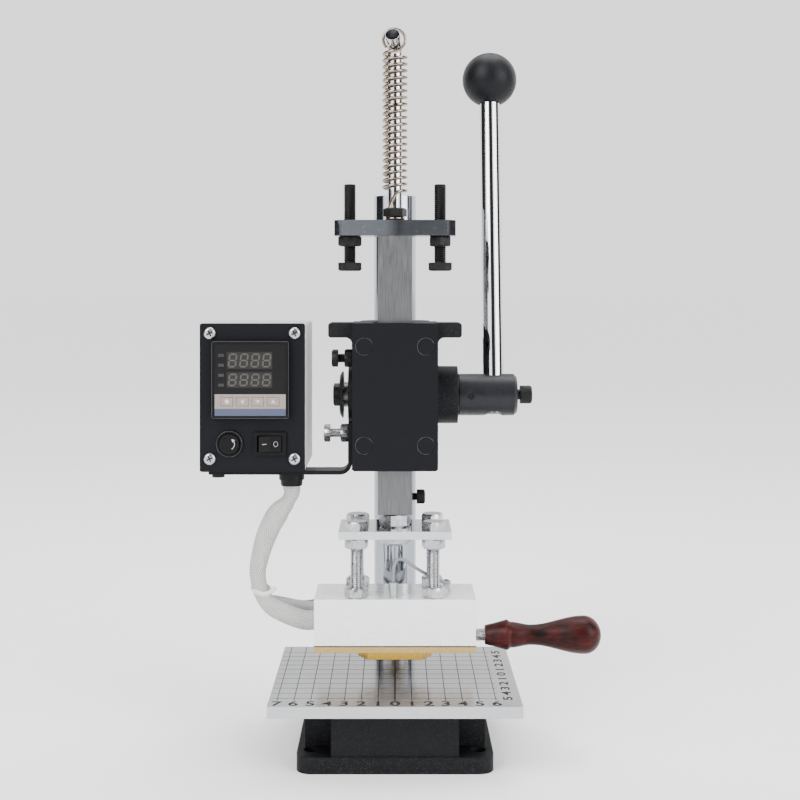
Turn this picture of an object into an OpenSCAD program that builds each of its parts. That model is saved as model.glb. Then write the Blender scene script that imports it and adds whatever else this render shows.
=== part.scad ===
// Bench hot foil stamping press with a rack-driven ram, a heated block and a control box.
// Millimetres. +Z is up, +X is the lever side, +Y is away from the operator.
// The origin is the centre of the four base holes, on the bench.

/* [Base and table] */
// Width of the base flange
base_w = 118.5; // [112:0.5:130]
// Depth of the base flange
base_d = 132; // [126:1:150]
// Thickness of the base flange
flange_t = 10; // [8:0.5:14]
// Corner radius of the base flange
base_corner_r = 9; // [3:0.5:10]
// Width of the pedestal under the table
pedestal_w = 76.5; // [70:0.5:82]
// Width of the shoulders between the bench bolt holes
shoulder_w = 110; // [104:0.5:112]
// Height of the pedestal above the bench
pedestal_h = 38; // [34:0.5:46]
// Wall of the hollow pedestal
cast_wall = 9; // [7:0.5:10]
// Spacing of the bench bolts across
hole_span_x = 101; // [98:0.5:104]
// Spacing of the bench bolts front to back
hole_span_y = 104; // [98:1:112]
// Diameter of the bench bolt holes
hole_d = 9; // [6:0.5:11]
// Width of the table
table_w = 150; // [130:1:180]
// Depth of the table
table_d = 130; // [124:1:150]
// Thickness of the table
table_t = 7; // [6:0.5:12]
// How far the table stands out in front of the base
table_overhang = 15; // [8:1:18]

/* [Column] */
// Diameter of the column
column_d = 28; // [24:0.5:30]
// Height of the column's top above the bench
column_top = 351; // [320:1:420]
// Distance from the ram axis back to the column axis
throat = 52; // [50:0.5:58]
// Distance from the base centre forward to the ram axis
ram_fore = 15; // [12:0.5:20]

/* [Head] */
// Height of the head's underside above the table
head_gap = 130.7; // [126:0.1:140]
// Width of the head casting
head_w = 54; // [52:0.5:60]
// Height of the head casting
head_h = 92; // [88:0.5:104]
// Width across the two top ears
ear_span = 84; // [80:0.5:96]
// Thickness of the top ears
ear_t = 9.3; // [7:0.1:12]
// Outside diameter of the column clamp
clamp_od = 46; // [43:0.5:50]
// Diameter of the pinion bosses
boss_d = 37; // [34:0.5:40]
// How far the right boss stands out of the head
boss_right = 13.4; // [8:0.1:20]
// How far the left boss stands out of the head
boss_left = 3; // [2:0.5:6]
// Height of the pinion axis above the head's underside
pinion_rise = 44.8; // [40:0.1:50]
// Thickness of the front cover
cover_t = 6; // [4:0.5:8]
// Thickness of the gib strip
gib_t = 3; // [2:0.25:4]

/* [Ram and rack] */
// Side of the square ram
ram_w = 21.5; // [20:0.5:24]
// Length of the ram
ram_len = 174.9; // [165:0.1:190]
// Tooth module of the rack and pinion
tooth_module = 1.5; // [1.4:0.05:1.6]
// Teeth on the pinion
pinion_teeth = 14; // [14:1:15]
// Width of the pinion's teeth
pinion_w = 20; // [14:0.5:21]
// Diameter of the pinion shaft
shaft_d = 16; // [12:0.5:16]
// Width of the top bar
bar_w = 76.4; // [72:0.2:84]
// Thickness of the top bar
bar_t = 9.8; // [8:0.1:12]
// Depth of the top bar
bar_d = 22; // [18:0.5:26]
// Distance between the two stop bolts
stop_span = 57.2; // [50:0.2:62]
// Length of a stop bolt under its head
stop_len = 49.5; // [40:0.5:56]

/* [Lever] */
// Diameter of the lever hub
hub_d = 27; // [25:0.5:32]
// Length of the lever hub
hub_len = 37.4; // [34:0.1:46]
// Diameter of the lever rod
rod_d = 13.5; // [11:0.5:14]
// Distance from the shaft axis to the centre of the ball knob
lever_len = 213; // [180:0.1:260]
// Diameter of the ball knob
knob_d = 36.5; // [32:0.5:45]
// How far the lever leans back at rest, in degrees
lever_lean = 10; // [5:1:30]

/* [Heated tool] */
// Gap between the stamping die and the table at rest
press_gap = 13.3; // [10:0.1:20]
// Width of the stamping die
die_w = 46; // [36:0.5:60]
// Depth of the stamping die
die_d = 39; // [34:0.5:42]
// Thickness of the stamping die
die_t = 6; // [4:0.1:8]
// Thickness of the die plate
die_plate_t = 3.9; // [3:0.1:6]
// Width of the heating block
block_w = 100; // [94:1:120]
// Depth of the heating block
block_d = 44; // [44:0.5:50]
// Height of the heating block
block_h = 29.1; // [27:0.1:36]
// Free height between the block and the hanger plate
hanger_gap = 36.9; // [32:0.1:44]
// Width of the hanger plate
hanger_w = 70; // [66:0.5:84]
// Thickness of the hanger plate
hanger_t = 5; // [4:0.5:8]
// Spacing of the hanger bolts across
hanger_span_x = 48; // [44:0.5:50]
// Spacing of the hanger bolts front to back
hanger_span_y = 29; // [27:0.5:29]
// Diameter of the heater cartridges
cartridge_d = 10; // [6:0.5:10]
// Length of the wooden handle
handle_len = 72.5; // [60:0.5:95]
// Largest diameter of the wooden handle
handle_d = 23.4; // [20:0.2:26]

/* [Return spring] */
// Wire diameter of the spring
wire_d = 2; // [1.6:0.1:2.2]
// Mean diameter of the coils
coil_d = 14.6; // [14:0.1:15.4]
// Whole turns of the coil
coil_turns = 20; // [14:1:22]
// Height of the hook's bend above the head
hook_rise = 172.9; // [166:0.1:190]
// Diameter of the hook rod
hook_d = 9.6; // [8.6:0.1:9.8]

/* [Control box] */
// Width of the control box
box_w = 65.5; // [62:0.5:80]
// Height of the control box
box_h = 92.6; // [90:0.1:104]
// Depth of the control box
box_d = 74; // [70:1:95]
// Wall of the control box
box_wall = 1.5; // [1:0.1:2]
// Gap between the control box and the head
box_gap = 29.1; // [25:0.1:40]
// Thickness of the front panel
panel_t = 2; // [1.5:0.1:3]
// Side of the square temperature controller
controller_w = 48; // [46:0.5:50]
// How far the controller stands out of the panel
controller_proud = 5; // [4:0.5:8]
// Thickness of the bracket strip
bracket_t = 2.5; // [2:0.1:4]
// Width of the bracket strip
bracket_w = 18; // [14:0.5:19]

/* [Hidden] */
$fn = 64;

// Clearances
over = 1;
fit_gap = 0.05;
slide_gap = 0.1;
bolt_gap = 0.3;
seat_gap = 0.3;
notch_gap = 0.5;

// Fastener sizes: thread, width across flats, head height and nut height
m3 = 3;
m4 = 4;
m5 = 5;
m6 = 6;
m8 = 8;
m12 = 12;
m6_flats = 10;
m8_flats = 13;
m12_flats = 18;
m6_head_h = 4;
m8_head_h = 5.3;
m12_head_h = 7.5;
m6_nut_h = 5;
m8_nut_h = 6.5;
m12_nut_h = 8.4;
m12_thin_nut_h = 6;
m5_cap_d = 9;
m5_cap_h = 5.3;
m8_cap_d = 13;
m8_cap_h = 8;

// Heights, from the bench up
table_top = pedestal_h + table_t;
die_z = table_top + press_gap;
die_plate_z = die_z + die_t;
block_z = die_plate_z + die_plate_t;
block_top = block_z + block_h;
hanger_z = block_top + hanger_gap;
hanger_top = hanger_z + hanger_t;
ram_z = hanger_top + m12_nut_h;
ram_top = ram_z + ram_len;
bar_top = ram_top + bar_t;
head_z = table_top + head_gap;
head_top = head_z + head_h;
pinion_z = head_z + pinion_rise;

// Places front to back
ram_y = -ram_fore;
ram_front = ram_y - ram_w / 2;
ram_rear = ram_y + ram_w / 2;
column_y = ram_y + throat;
table_front = -base_d / 2 - table_overhang;
table_rear = table_front + table_d;

// Base details
pedestal_back = 11;
pedestal_inset = 1.2;
pedestal_d = base_d / 2 + column_y + column_d / 2 + pedestal_back;
pocket_w = (pedestal_w - 3 * cast_wall) / 2;
pocket_d = base_d / 2 + column_y - column_d / 2 - 2 * cast_wall;
pocket_h = pedestal_h - 12;
column_seat = 16;
foot_recess_d = 26;
foot_recess_h = 9;
foot_thread = 30;
table_thread = 4.5;
table_screw_rows = [-base_d / 2 + cast_wall + 14, -base_d / 2 + cast_wall + pocket_d - 14];
table_screw_x = (cast_wall + pocket_w) / 2;
hole_land = 6.5;
shoulder_d = hole_span_y - 2 * hole_land;

// Rack and pinion
pressure_angle = 20;
pitch_r = tooth_module * pinion_teeth / 2;
tooth_pitch = PI * tooth_module;
addendum = 0.8 * tooth_module;
dedendum = 1.07 * tooth_module;
backlash = 0.16;
pinion_y = ram_rear - addendum + pitch_r;
pinion_tip_r = pitch_r + addendum;
rack_gaps_below = 4;
rack_gaps_above = 6;

// Head details
block_front = ram_front - slide_gap;
head_rear = pinion_y + pinion_tip_r + 5.5;
slot_left = -(ram_w / 2 + slide_gap + gib_t + fit_gap);
slot_right = ram_w / 2 + slide_gap;
slot_rear = ram_rear + slide_gap;
cavity_r = pinion_tip_r + 0.7;
bush_left_r = shaft_d / 2 + 3;
bush_end = max(pinion_w / 2 + seat_gap, ram_w / 2 + slide_gap);
boss_right_x = head_w / 2 + boss_right;
boss_left_x = -head_w / 2 - boss_left;
ear_front = block_front + 2.8;
ear_corner_r = 1.8;
ear_fillet = 4;
ear_rear = ram_rear + 7;
split_w = 3;
clamp_ear_w = 32;
clamp_ear_y = column_y + clamp_od / 2 + 7;
clamp_ear_back = 8;
clamp_ear_inset = 10;
clamp_bolt_zs = [head_z + 0.3 * head_h, head_z + 0.7 * head_h];
cover_w = head_w - 1;
cover_corner_r = 1.5;
cover_screw_x = 19.2;
cover_screw_zs = [head_z + 15.9, head_top - 14.5];
cover_head_d = 10.8;
cover_head_h = 3.2;
cover_thread = 7;
gib_screw_zs = [head_z + 22.1, head_top - 22.5];
gib_w = ram_w - 3.5;
gib_margin = 4;
gib_stand_lower = 6.4;
gib_stand_upper = 4;
bush_right_r = cavity_r - fit_gap;

// Hook rod and spring
hook_y = pinion_y;
hook_seat = head_top - 25;
hook_bend_r = 8;
hook_bend = 60;
hook_turn = 8;
hook_tip = 9;
hook_lap = 1;
hook_step = 0.1;
hook_bend_z = head_top + hook_rise;
hook_bend_y = hook_y - hook_bend_r * (1 - cos(hook_bend));
ring_r = hook_d / 2 + wire_d / 2 + 1.2;
ring_y = hook_y - coil_d / 2;
ring_reach = (hook_bend_y - ring_y) / sin(hook_bend);
ring_z = hook_bend_z + hook_bend_r * sin(hook_bend) + ring_reach * cos(hook_bend);
ring_x = -(hook_y - ring_y) * tan(hook_turn) / 2;
ring_sweep = 300;
loop_gap = 0.35;
loop_r = m8 / 2 + loop_gap + wire_d / 2;
loop_z = bar_top + seat_gap + wire_d / 2;
loop_start = 30;
loop_run = 8;
bar_bolt_z = loop_z + wire_d / 2 + seat_gap;
tail_rise = 18.3;
coil_bottom = loop_z + tail_rise;
coil_top = ring_z - ring_r;
coil_start = -70;
coil_sweep = 360 * coil_turns + 340;
rings_per_turn = 8;
rings_per_loop = 24;
wire_sides = 6;

// Lever and shaft
shaft_left = boss_left_x - 3.3;
hub_gap = 0.9;
hub_x = boss_right_x + hub_gap;
hub_end = hub_x + hub_len;
lever_rod_x = hub_end - 14.8;
shaft_right = lever_rod_x - rod_d / 2 - 1.5;
hub_chamfer = 2;
hub_pin_d = 4;
hub_pin_x = (hub_x + shaft_right) / 2;
washer_d = 30;
washer_t = 2.3;
shaft_thread = 18;
knob_flat = knob_d / 2 - 1;
knob_socket = 6;
rod_screw_d = 6.7;
rod_screw_proud = 2.4;
rod_screw_head_d = 11.7;
rod_screw_head_h = 7.5;

// Hanging tool
block_front_y = ram_y - block_d / 2;
hanger_thread = 8;
stem_into_ram = 24;
stem_end = 1.2;
stem_screw_z = ram_z + 9.9;
stem_screw_stand = 3;
cartridge_len = 80;
cartridge_z = block_z + 12;
cartridge_span = 15;
die_screw_span_x = block_w - 24;
die_screw_span_y = block_d - 10;
die_screw_head_d = 7.4;
die_screw_head_h = 2;
die_screw_len = 10;
relief_t = 1.2;
relief_ring_r = 16;
relief_ring_w = 2.5;
relief_dots = 8;
relief_dot_d = 4.5;
relief_hub_d = 8;
die_clip_x = 6;
die_clip_y = 9.5;
probe_x = -1;
probe_y = ram_y - 16;
probe_d = 4.4;
probe_ferrule_d = 5.6;
probe_depth = 10;
probe_ferrule_z = block_top + 2.7;
probe_top = block_top + 9.5;
handle_z = block_z + 5;
handle_y = ram_y - 12.5;
handle_gap = 6;
handle_x = block_w / 2 + handle_gap;
stud_in_block = 8;
stud_in_handle = 14;
top_thread = 20;
bar_clip = 5;
stop_head_z = ram_top - 22.1 + m8_head_h - 5.3;
stop_bolt_top = stop_head_z + m8_head_h + stop_len;

// Handle outline: distance along it and radius
handle_bead = 13.7;
handle_neck = 28.7;
handle_belly = handle_len - 10.5;
handle_start_r = 6;
handle_bead_r = 9.3;
handle_step_r = 8.1;
handle_neck_r = 6.2;

// Control box
box_right = -head_w / 2 - box_gap;
box_left = box_right - box_w;
bracket_top = head_z - 0.7;
bracket_z = bracket_top - bracket_t;
bracket_far = box_left + 4.7;
bracket_leg_top = gib_screw_zs[0] + 6.7;
bracket_bend_r = 5;
box_z = bracket_top;
box_top = box_z + box_h;
box_front = ram_y - 15;
shell_front = box_front + panel_t;
box_rear = box_front + box_d;
post_w = 9;
post_rim = 3.5;
box_corner_r = 1.5;
post_len = 16;
panel_screw_inset_x = 6.4;
panel_screw_inset_z = 6.2;
panel_screw_rise_z = 8.3;
panel_screw_head_d = 7.7;
panel_screw_head_h = 2.4;
panel_screw_len = 10;
controller_x = box_left + box_w / 2 - 0.8;
controller_z = box_top - 34.9;
controller_body_w = controller_w - 3.5;
controller_body_d = 58;
face_w = controller_w - 3;
face_t = 1.2;
face_sink = 0.3;
face_pitch = 9.55;
key_w = 7.2;
key_h = 5.2;
key_t = 1.6;
key_gap = 0.15;
key_travel = 0.5;
key_row_z = controller_z - 13.4;
key_row_x = controller_x - 14.4;
key_front = box_front - controller_proud;
key_pocket = 1.4;
low_row_z = box_z + 17.7;
fuse_x = box_left + 18.7;
fuse_flange_d = 16.3;
fuse_flange_t = 2.5;
fuse_body_d = 12;
fuse_body_len = 32;
fuse_cap_d = 13;
fuse_cap_t = 3.4;
fuse_cap_sink = 2;
switch_x = box_right - 21.8;
switch_w = 20.3;
switch_h = 14.4;
switch_flange_t = 2;
switch_body_w = 18.4;
switch_body_h = 12.4;
switch_body_d = 20;
rocker_w = 14;
rocker_h = 9.7;
rocker_gap = 0.7;
rocker_side_gap = 0.25;
rocker_tilt = 8;
rocker_well = 7;
rocker_pin_d = 2;
rocker_pin_len = 1;
rocker_axis_y = box_front - 0.5;
bracket_screw_x = box_left + 9.7;
bracket_screw_d = 8;
bracket_screw_head_h = 2.6;
bracket_screw_len = 4;
heater_gland_x = box_right - 9.4;
heater_gland_y = ram_y;
gland_d = 16;
gland_collar_h = 4;
gland_dome_d = 13.5;
gland_h = 7.8;
gland_neck_d = 10;
gland_neck = 4;
mains_gland_x = box_left + box_w / 2;
mains_gland_z = box_z + 14;
mains_bore_d = 7;

// Routes of the soft leads, chosen by hand
sleeve_d = 10;
sleeve_sides = 10;
sleeve_start = bracket_z - gland_h;
sleeve_route = [[heater_gland_x, heater_gland_y, sleeve_start],
    [heater_gland_x, heater_gland_y, sleeve_start - 5], [-68.6, -15, 153.5], [-73, -15, 148.5],
    [-77.2, -15, 142], [-80.8, -15, 134.5], [-83.6, -15, 126.5], [-85.8, -15, 118], [-87, -15.2, 110],
    [-86, -15.8, 101.8], [-83.3, -17, 95], [-78.5, -19, 89.5], [-72, -20, 86], [-64.5, -20.6, 83],
    [-57, -21, 80.8], [-50, -21, 80.8]];
lead_d = 2.4;
lead_sides = 8;
lead_route = [[-1, -31, 106.8], [-1, -31, 112], [-0.6, -30.9, 116.5], [0.8, -30.6, 119.8],
    [3.5, -30, 121], [7.5, -29, 119], [14, -26.5, 114], [20.8, -23.5, 109.6], [26.5, -19.5, 106],
    [31, -14, 103], [34.4, -6, 100.6], [35, 2, 99.6], [33, 7.6, 99.2], [28.5, 9.6, 96.3],
    [22, 10, 92.5], [12, 9.4, 90.5], [0, 9.2, 90], [-14, 9.2, 90], [-28, 9.2, 90],
    [-40, 9.2, 90.5], [-48, 9, 91], [-53.5, 6.5, 91.5], [-56.5, 1, 92], [-58.5, -6, 92.5],
    [-62, -12, 93.2], [-67, -15, 94], [-72, -16.4, 95], [-76.5, -16.9, 96.2]];

// A rectangle with round corners, centred
module rounded_rect(w, d, r) {
    union() {
        square([w - 2 * r, d], center = true);
        square([w, d - 2 * r], center = true);
        for (x = [-1, 1], y = [-1, 1])
            translate([x * (w / 2 - r), y * (d / 2 - r)])
                circle(r = r);
    }
}

// A plate in X and Z with round corners: its middle at x and z, from y0 to y1
module rounded_face(x, z, w, h, r, y0, y1) {
    translate([x, y1, z])
        rotate([90, 0, 0])
            linear_extrude(y1 - y0)
                rounded_rect(w, h, r);
}

// A rod along +X that starts at x0 and ends at x1
module rod_x(x0, x1, r) {
    translate([x0, 0, 0])
        rotate([0, 90, 0])
            cylinder(r = r, h = x1 - x0);
}

// A rod along +Y that starts at y0 and ends at y1
module rod_y(y0, y1, r) {
    translate([0, y1, 0])
        rotate([90, 0, 0])
            cylinder(r = r, h = y1 - y0);
}

// A hexagon prism on the origin, up, by its width across flats
module hex_prism(flats, h) {
    cylinder(d = flats / cos(30), h = h, $fn = 6);
}

// A hex bolt: head on top of z = 0, shank below
module hex_bolt(d, len, flats, head_h) {
    union() {
        hex_prism(flats, head_h);
        translate([0, 0, -len])
            cylinder(d = d, h = len + head_h / 2);
    }
}

// A plain round-headed screw: head on top of z = 0, shank below
module round_screw(d, len, head_d, head_h) {
    union() {
        cylinder(d = head_d, h = head_h);
        translate([0, 0, -len])
            cylinder(d = d, h = len + head_h / 2);
    }
}

// A flush countersunk screw: its top at z = 0, shank below
module flush_screw(d, len, head_d, head_h) {
    union() {
        translate([0, 0, -head_h])
            cylinder(d1 = d, d2 = head_d, h = head_h);
        translate([0, 0, -len])
            cylinder(d = d, h = len - head_h / 2);
    }
}

// A nut on the origin, up
module hex_nut(d, flats, h) {
    difference() {
        hex_prism(flats, h);
        translate([0, 0, -over])
            cylinder(d = d + 2 * fit_gap, h = h + 2 * over);
    }
}

// The places of the four hanger bolts
module at_hanger_bolts() {
    for (x = [-1, 1], y = [-1, 1])
        translate([x * hanger_span_x / 2, ram_y + y * hanger_span_y / 2, 0])
            children();
}

// The places of the four table screws
module at_table_screws() {
    for (x = [-1, 1], y = table_screw_rows)
        translate([x * table_screw_x, y, 0])
            children();
}

// The places of the four panel screws
module at_panel_screws() {
    for (x = [box_left + panel_screw_inset_x, box_right - panel_screw_inset_x],
         z = [box_z + panel_screw_rise_z, box_top - panel_screw_inset_z])
        translate([x, 0, z])
            children();
}

// The places of the four cover screws
module at_cover_screws() {
    for (x = [-1, 1], z = cover_screw_zs)
        translate([x * cover_screw_x, 0, z])
            children();
}

// Tube along a path: frames carried from ring to ring, triangles all over
function unit(v) = v / norm(v);
function tangent(p, i) = unit(p[min(i + 1, len(p) - 1)] - p[max(i - 1, 0)]);
function across(u, t) = unit(u - (u * t) * t);
function frames(p, u0) = [for (i = 0, u = across(u0, tangent(p, 0)); i < len(p);
    i = i + 1, u = i < len(p) ? across(u, tangent(p, i)) : u) u];
function tube_points(p, u, r, n) = [for (i = [0:len(p) - 1], j = [0:n - 1])
    p[i] + r * (cos(360 * j / n) * u[i] + sin(360 * j / n) * cross(tangent(p, i), u[i]))];
function tube_sides(rings, n) = [for (i = [0:rings - 2], j = [0:n - 1], half = [0, 1])
    half == 0
        ? [i * n + j, (i + 1) * n + j, (i + 1) * n + (j + 1) % n]
        : [i * n + j, (i + 1) * n + (j + 1) % n, i * n + (j + 1) % n]];
function tube_ends(rings, n) = concat(
    [for (j = [1:n - 2]) [0, j, j + 1]],
    [for (j = [1:n - 2]) [0, j + 1, j] + [1, 1, 1] * (rings - 1) * n]);

module tube(path, r, n, u0) {
    polyhedron(points = tube_points(path, frames(path, u0), r, n),
        faces = concat(tube_sides(len(path), n), tube_ends(len(path), n)));
}

// Least gap of a tube to itself, on the points of its path
function self_gap(p, d, apart) = min([for (i = [0:len(p) - 1 - apart], j = [i + apart:len(p) - 1])
    norm(p[i] - p[j])]) - d;

// Pinion outline
function involute_angle(a) = tan(a) * 180 / PI - a;
base_r = pitch_r * cos(pressure_angle);
root_r = pitch_r - dedendum;
half_tooth = (tooth_pitch / 2 - backlash / 2) / pitch_r / 2 * 180 / PI;
function flank_angle(r) = half_tooth + involute_angle(pressure_angle) - involute_angle(acos(base_r / r));
flank_steps = 5;
flank_radii = [for (k = [0:flank_steps]) base_r + (pinion_tip_r - base_r) * k / flank_steps];
function polar(r, a) = [r * cos(a), r * sin(a)];
function tooth(a) = concat(
    [polar(root_r, a - flank_angle(base_r))],
    [for (r = flank_radii) polar(r, a - flank_angle(r))],
    [for (k = [flank_steps:-1:0]) polar(flank_radii[k], a + flank_angle(flank_radii[k]))],
    [polar(root_r, a + flank_angle(base_r))]);
pinion_outline = [for (i = [0:pinion_teeth - 1], p = tooth(180 + 360 * i / pinion_teeth)) p];

// Stands a flat outline in Y and Z up along +X
module along_x(x0, x1) {
    translate([x0, 0, 0])
        rotate([90, 0, 90])
            linear_extrude(x1 - x0)
                children();
}

// Spring path: loop under the bar bolt, tail, coils, ring over the hook
function bezier(a, b, c, d, t) = pow(1 - t, 3) * a + 3 * t * pow(1 - t, 2) * b
    + 3 * t * t * (1 - t) * c + pow(t, 3) * d;
function coil_point(a, z) = [coil_d / 2 * cos(a), hook_y + coil_d / 2 * sin(a), z];
function loop_point(a) = [loop_r * cos(a), ram_y + loop_r * sin(a), loop_z];
function ring_point(a) = [ring_x + ring_r * cos(a), ring_y, ring_z + ring_r * sin(a)];
tail_foot = [-loop_r, ram_y + loop_run, loop_z];
tail_head = coil_point(coil_start, coil_bottom);
tail_steps = 9;
coil_steps = ceil(coil_sweep / 360 * rings_per_turn);
loop_step = 360 / rings_per_loop;
spring_path = concat(
    [loop_point(loop_start) + wire_d * [-sin(loop_start), cos(loop_start), 0]],
    [for (a = [loop_start:-loop_step:-180]) loop_point(a)],
    [loop_point(-180) + [0, loop_run / 2, 0]],
    [for (k = [0:tail_steps - 1])
        bezier(tail_foot, tail_foot + [0, 4.5, 0], tail_head - [5.5, 1, 3.5], tail_head, k / tail_steps)],
    [for (k = [0:coil_steps - 1])
        coil_point(coil_start + coil_sweep * k / coil_steps,
            coil_bottom + (coil_top - coil_bottom) * k / coil_steps)],
    [for (a = [0:loop_step:ring_sweep]) ring_point(a - 90)],
    [ring_point(ring_sweep - 90) + wire_d * [-sin(ring_sweep - 90), 0, cos(ring_sweep - 90)]]);
echo("least gap of the spring's wire to itself", self_gap(spring_path, wire_d, 5));

// Handle outline, eased between its key radii
function ease(a, b, t) = a + (b - a) * (1 - cos(180 * t)) / 2;
ease_steps = 8;
function eased(x0, r0, x1, r1) = [for (k = [0:ease_steps - 1])
    [ease(r0, r1, k / ease_steps), x0 + (x1 - x0) * k / ease_steps]];
handle_outline = concat(
    [[0, 0], [handle_start_r, 0], [handle_bead_r - 0.4, handle_bead - 1.2], [handle_bead_r, handle_bead],
        [handle_step_r, handle_bead + 1.6]],
    eased(handle_bead + 1.8, handle_step_r - 0.1, handle_neck, handle_neck_r),
    eased(handle_neck, handle_neck_r, handle_belly, handle_d / 2),
    [for (a = [0:10:90]) [handle_d / 2 * cos(a), handle_belly + (handle_len - handle_belly) * sin(a)]]);

// Base and table

module base_casting() {
    color("#1b1c1e")
        difference() {
            union() {
                linear_extrude(flange_t)
                    rounded_rect(base_w, base_d, base_corner_r);
                translate([-pedestal_w / 2, -base_d / 2 + pedestal_inset, 0])
                    cube([pedestal_w, pedestal_d - pedestal_inset, pedestal_h]);
                translate([-shoulder_w / 2, -shoulder_d / 2, 0])
                    cube([shoulder_w, shoulder_d, pedestal_h]);
            }
            for (x = [-1, 1], y = [-1, 1])
                translate([x * hole_span_x / 2, y * hole_span_y / 2, -over])
                    cylinder(d = hole_d, h = flange_t + 2 * over);
            for (x = [-1, 1])
                translate([x * table_screw_x - pocket_w / 2, -base_d / 2 + cast_wall, -over])
                    cube([pocket_w, pocket_d, pocket_h + over]);
            translate([0, column_y, column_seat])
                cylinder(r = column_d / 2 + fit_gap, h = pedestal_h);
            translate([0, column_y, -over])
                cylinder(d = m12 + 2 * bolt_gap, h = column_seat + 2 * over);
            translate([0, column_y, -over])
                cylinder(d = foot_recess_d, h = foot_recess_h + over);
            at_table_screws()
                translate([0, 0, pocket_h - over])
                    cylinder(d = m5 + 2 * bolt_gap, h = pedestal_h);
        }
}

module table_plate() {
    notch_r = column_d / 2 + notch_gap;
    color("#c9cbcd")
        difference() {
            translate([-table_w / 2, table_front, pedestal_h])
                cube([table_w, table_d, table_t]);
            translate([0, column_y, pedestal_h - over])
                cylinder(r = notch_r, h = table_t + 2 * over);
            translate([-notch_r, column_y, pedestal_h - over])
                cube([2 * notch_r, table_d, table_t + 2 * over]);
            at_table_screws()
                translate([0, 0, pedestal_h - over])
                    cylinder(d = m5 + 2 * fit_gap, h = table_thread + 0.5 + over);
        }
}

module table_screws() {
    color("#3a3a3c")
        at_table_screws()
            translate([0, 0, pocket_h])
                mirror([0, 0, 1])
                    round_screw(m5, pedestal_h - pocket_h + table_thread, m5_cap_d, m5_cap_h);
}

module column() {
    color("#d5d7da")
        translate([0, column_y, 0])
            difference() {
                translate([0, 0, column_seat])
                    cylinder(d = column_d, h = column_top - column_seat);
                translate([0, 0, column_seat - over])
                    cylinder(d = m12 + 2 * fit_gap, h = foot_thread + 2 + over);
            }
}

module column_bolt() {
    color("#3a3a3c")
        translate([0, column_y, foot_recess_h])
            mirror([0, 0, 1])
                hex_bolt(m12, column_seat - foot_recess_h + foot_thread, m12_flats, m12_head_h);
}

// Head

// The round inner corner under the right ear
module ear_fillet_bar() {
    translate([head_w / 2, ear_rear, head_top - ear_t])
        rotate([90, 0, 0])
            linear_extrude(ear_rear - ear_front)
                difference() {
                    translate([-seat_gap, -ear_fillet])
                        square([ear_fillet + seat_gap, ear_fillet + seat_gap]);
                    translate([ear_fillet, -ear_fillet])
                        circle(r = ear_fillet - fit_gap);
                }
}

module head_housing() {
    color("#1e1f21")
        difference() {
            union() {
                translate([-head_w / 2, block_front, head_z])
                    cube([head_w, head_rear - block_front, head_h]);
                translate([0, column_y, head_z])
                    cylinder(d = clamp_od, h = head_h);
                translate([-clamp_ear_w / 2, column_y, head_z + clamp_ear_inset])
                    cube([clamp_ear_w, clamp_ear_y + clamp_ear_back - column_y,
                        head_h - 2 * clamp_ear_inset]);
                rounded_face(0, head_top - ear_t / 2, ear_span, ear_t, ear_corner_r, ear_front, ear_rear);
                for (side = [0, 1])
                    mirror([side, 0, 0])
                        ear_fillet_bar();
                translate([0, pinion_y, pinion_z])
                    rod_x(boss_left_x, boss_right_x, boss_d / 2);
            }
            translate([slot_left, block_front - over, head_z - over])
                cube([slot_right - slot_left, slot_rear - block_front + over, head_h + 2 * over]);
            translate([0, pinion_y, pinion_z])
                rod_x(-bush_end - over, boss_right_x + over, cavity_r);
            translate([0, pinion_y, pinion_z])
                rod_x(boss_left_x - over, 0, bush_left_r + fit_gap);
            translate([0, column_y, head_z - over])
                cylinder(r = column_d / 2 + fit_gap, h = head_h + 2 * over);
            translate([-split_w / 2, column_y, head_z - over])
                cube([split_w, clamp_od + clamp_ear_back, head_h + 2 * over]);
            for (z = clamp_bolt_zs)
                translate([0, clamp_ear_y, z]) {
                    rod_x(0, clamp_ear_w / 2 + over, m8 / 2 + bolt_gap);
                    rod_x(-clamp_ear_w / 2 - over, 0, m8 / 2 + fit_gap);
                }
            translate([0, hook_y, hook_seat])
                cylinder(r = hook_d / 2 + fit_gap, h = head_top);
            for (z = gib_screw_zs)
                translate([0, ram_y, z])
                    rod_x(-head_w / 2 - over, slot_left + over, m6 / 2 + fit_gap);
            at_cover_screws()
                rod_y(block_front - over, block_front + cover_thread + 0.5, m6 / 2 + fit_gap);
        }
}

module front_cover() {
    color("#24262a")
        difference() {
            rounded_face(0, head_z + head_h / 2, cover_w, head_h, cover_corner_r,
                block_front - cover_t, block_front);
            at_cover_screws()
                rod_y(block_front - cover_t - over, block_front + over, m6 / 2 + bolt_gap);
            at_cover_screws()
                rod_y(block_front - cover_t - over, block_front - cover_t + cover_head_h + fit_gap,
                    cover_head_d / 2 + slide_gap);
        }
}

module cover_screws() {
    color("#2a2b2e")
        at_cover_screws()
            union() {
                rod_y(block_front - cover_t, block_front - cover_t + cover_head_h, cover_head_d / 2);
                rod_y(block_front - cover_t + cover_head_h / 2, block_front + cover_thread, m6 / 2);
            }
}

module gib_strip() {
    color("#9a9ca0")
        translate([slot_left + fit_gap, ram_y - gib_w / 2, head_z + gib_margin])
            cube([gib_t, gib_w, head_h - 2 * gib_margin]);
}

// One gib screw with its lock nut against the face at x = seat
module gib_set(seat, stand) {
    nut_out = seat - m6_nut_h;
    head_x = nut_out - stand;
    union() {
        translate([head_x, 0, 0])
            rotate([0, -90, 0])
                hex_prism(m6_flats, m6_head_h);
        rod_x(head_x - m6_head_h / 2, slot_left, m6 / 2);
    }
    translate([seat, 0, 0])
        rotate([0, -90, 0])
            hex_nut(m6, m6_flats, m6_nut_h);
}

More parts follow.
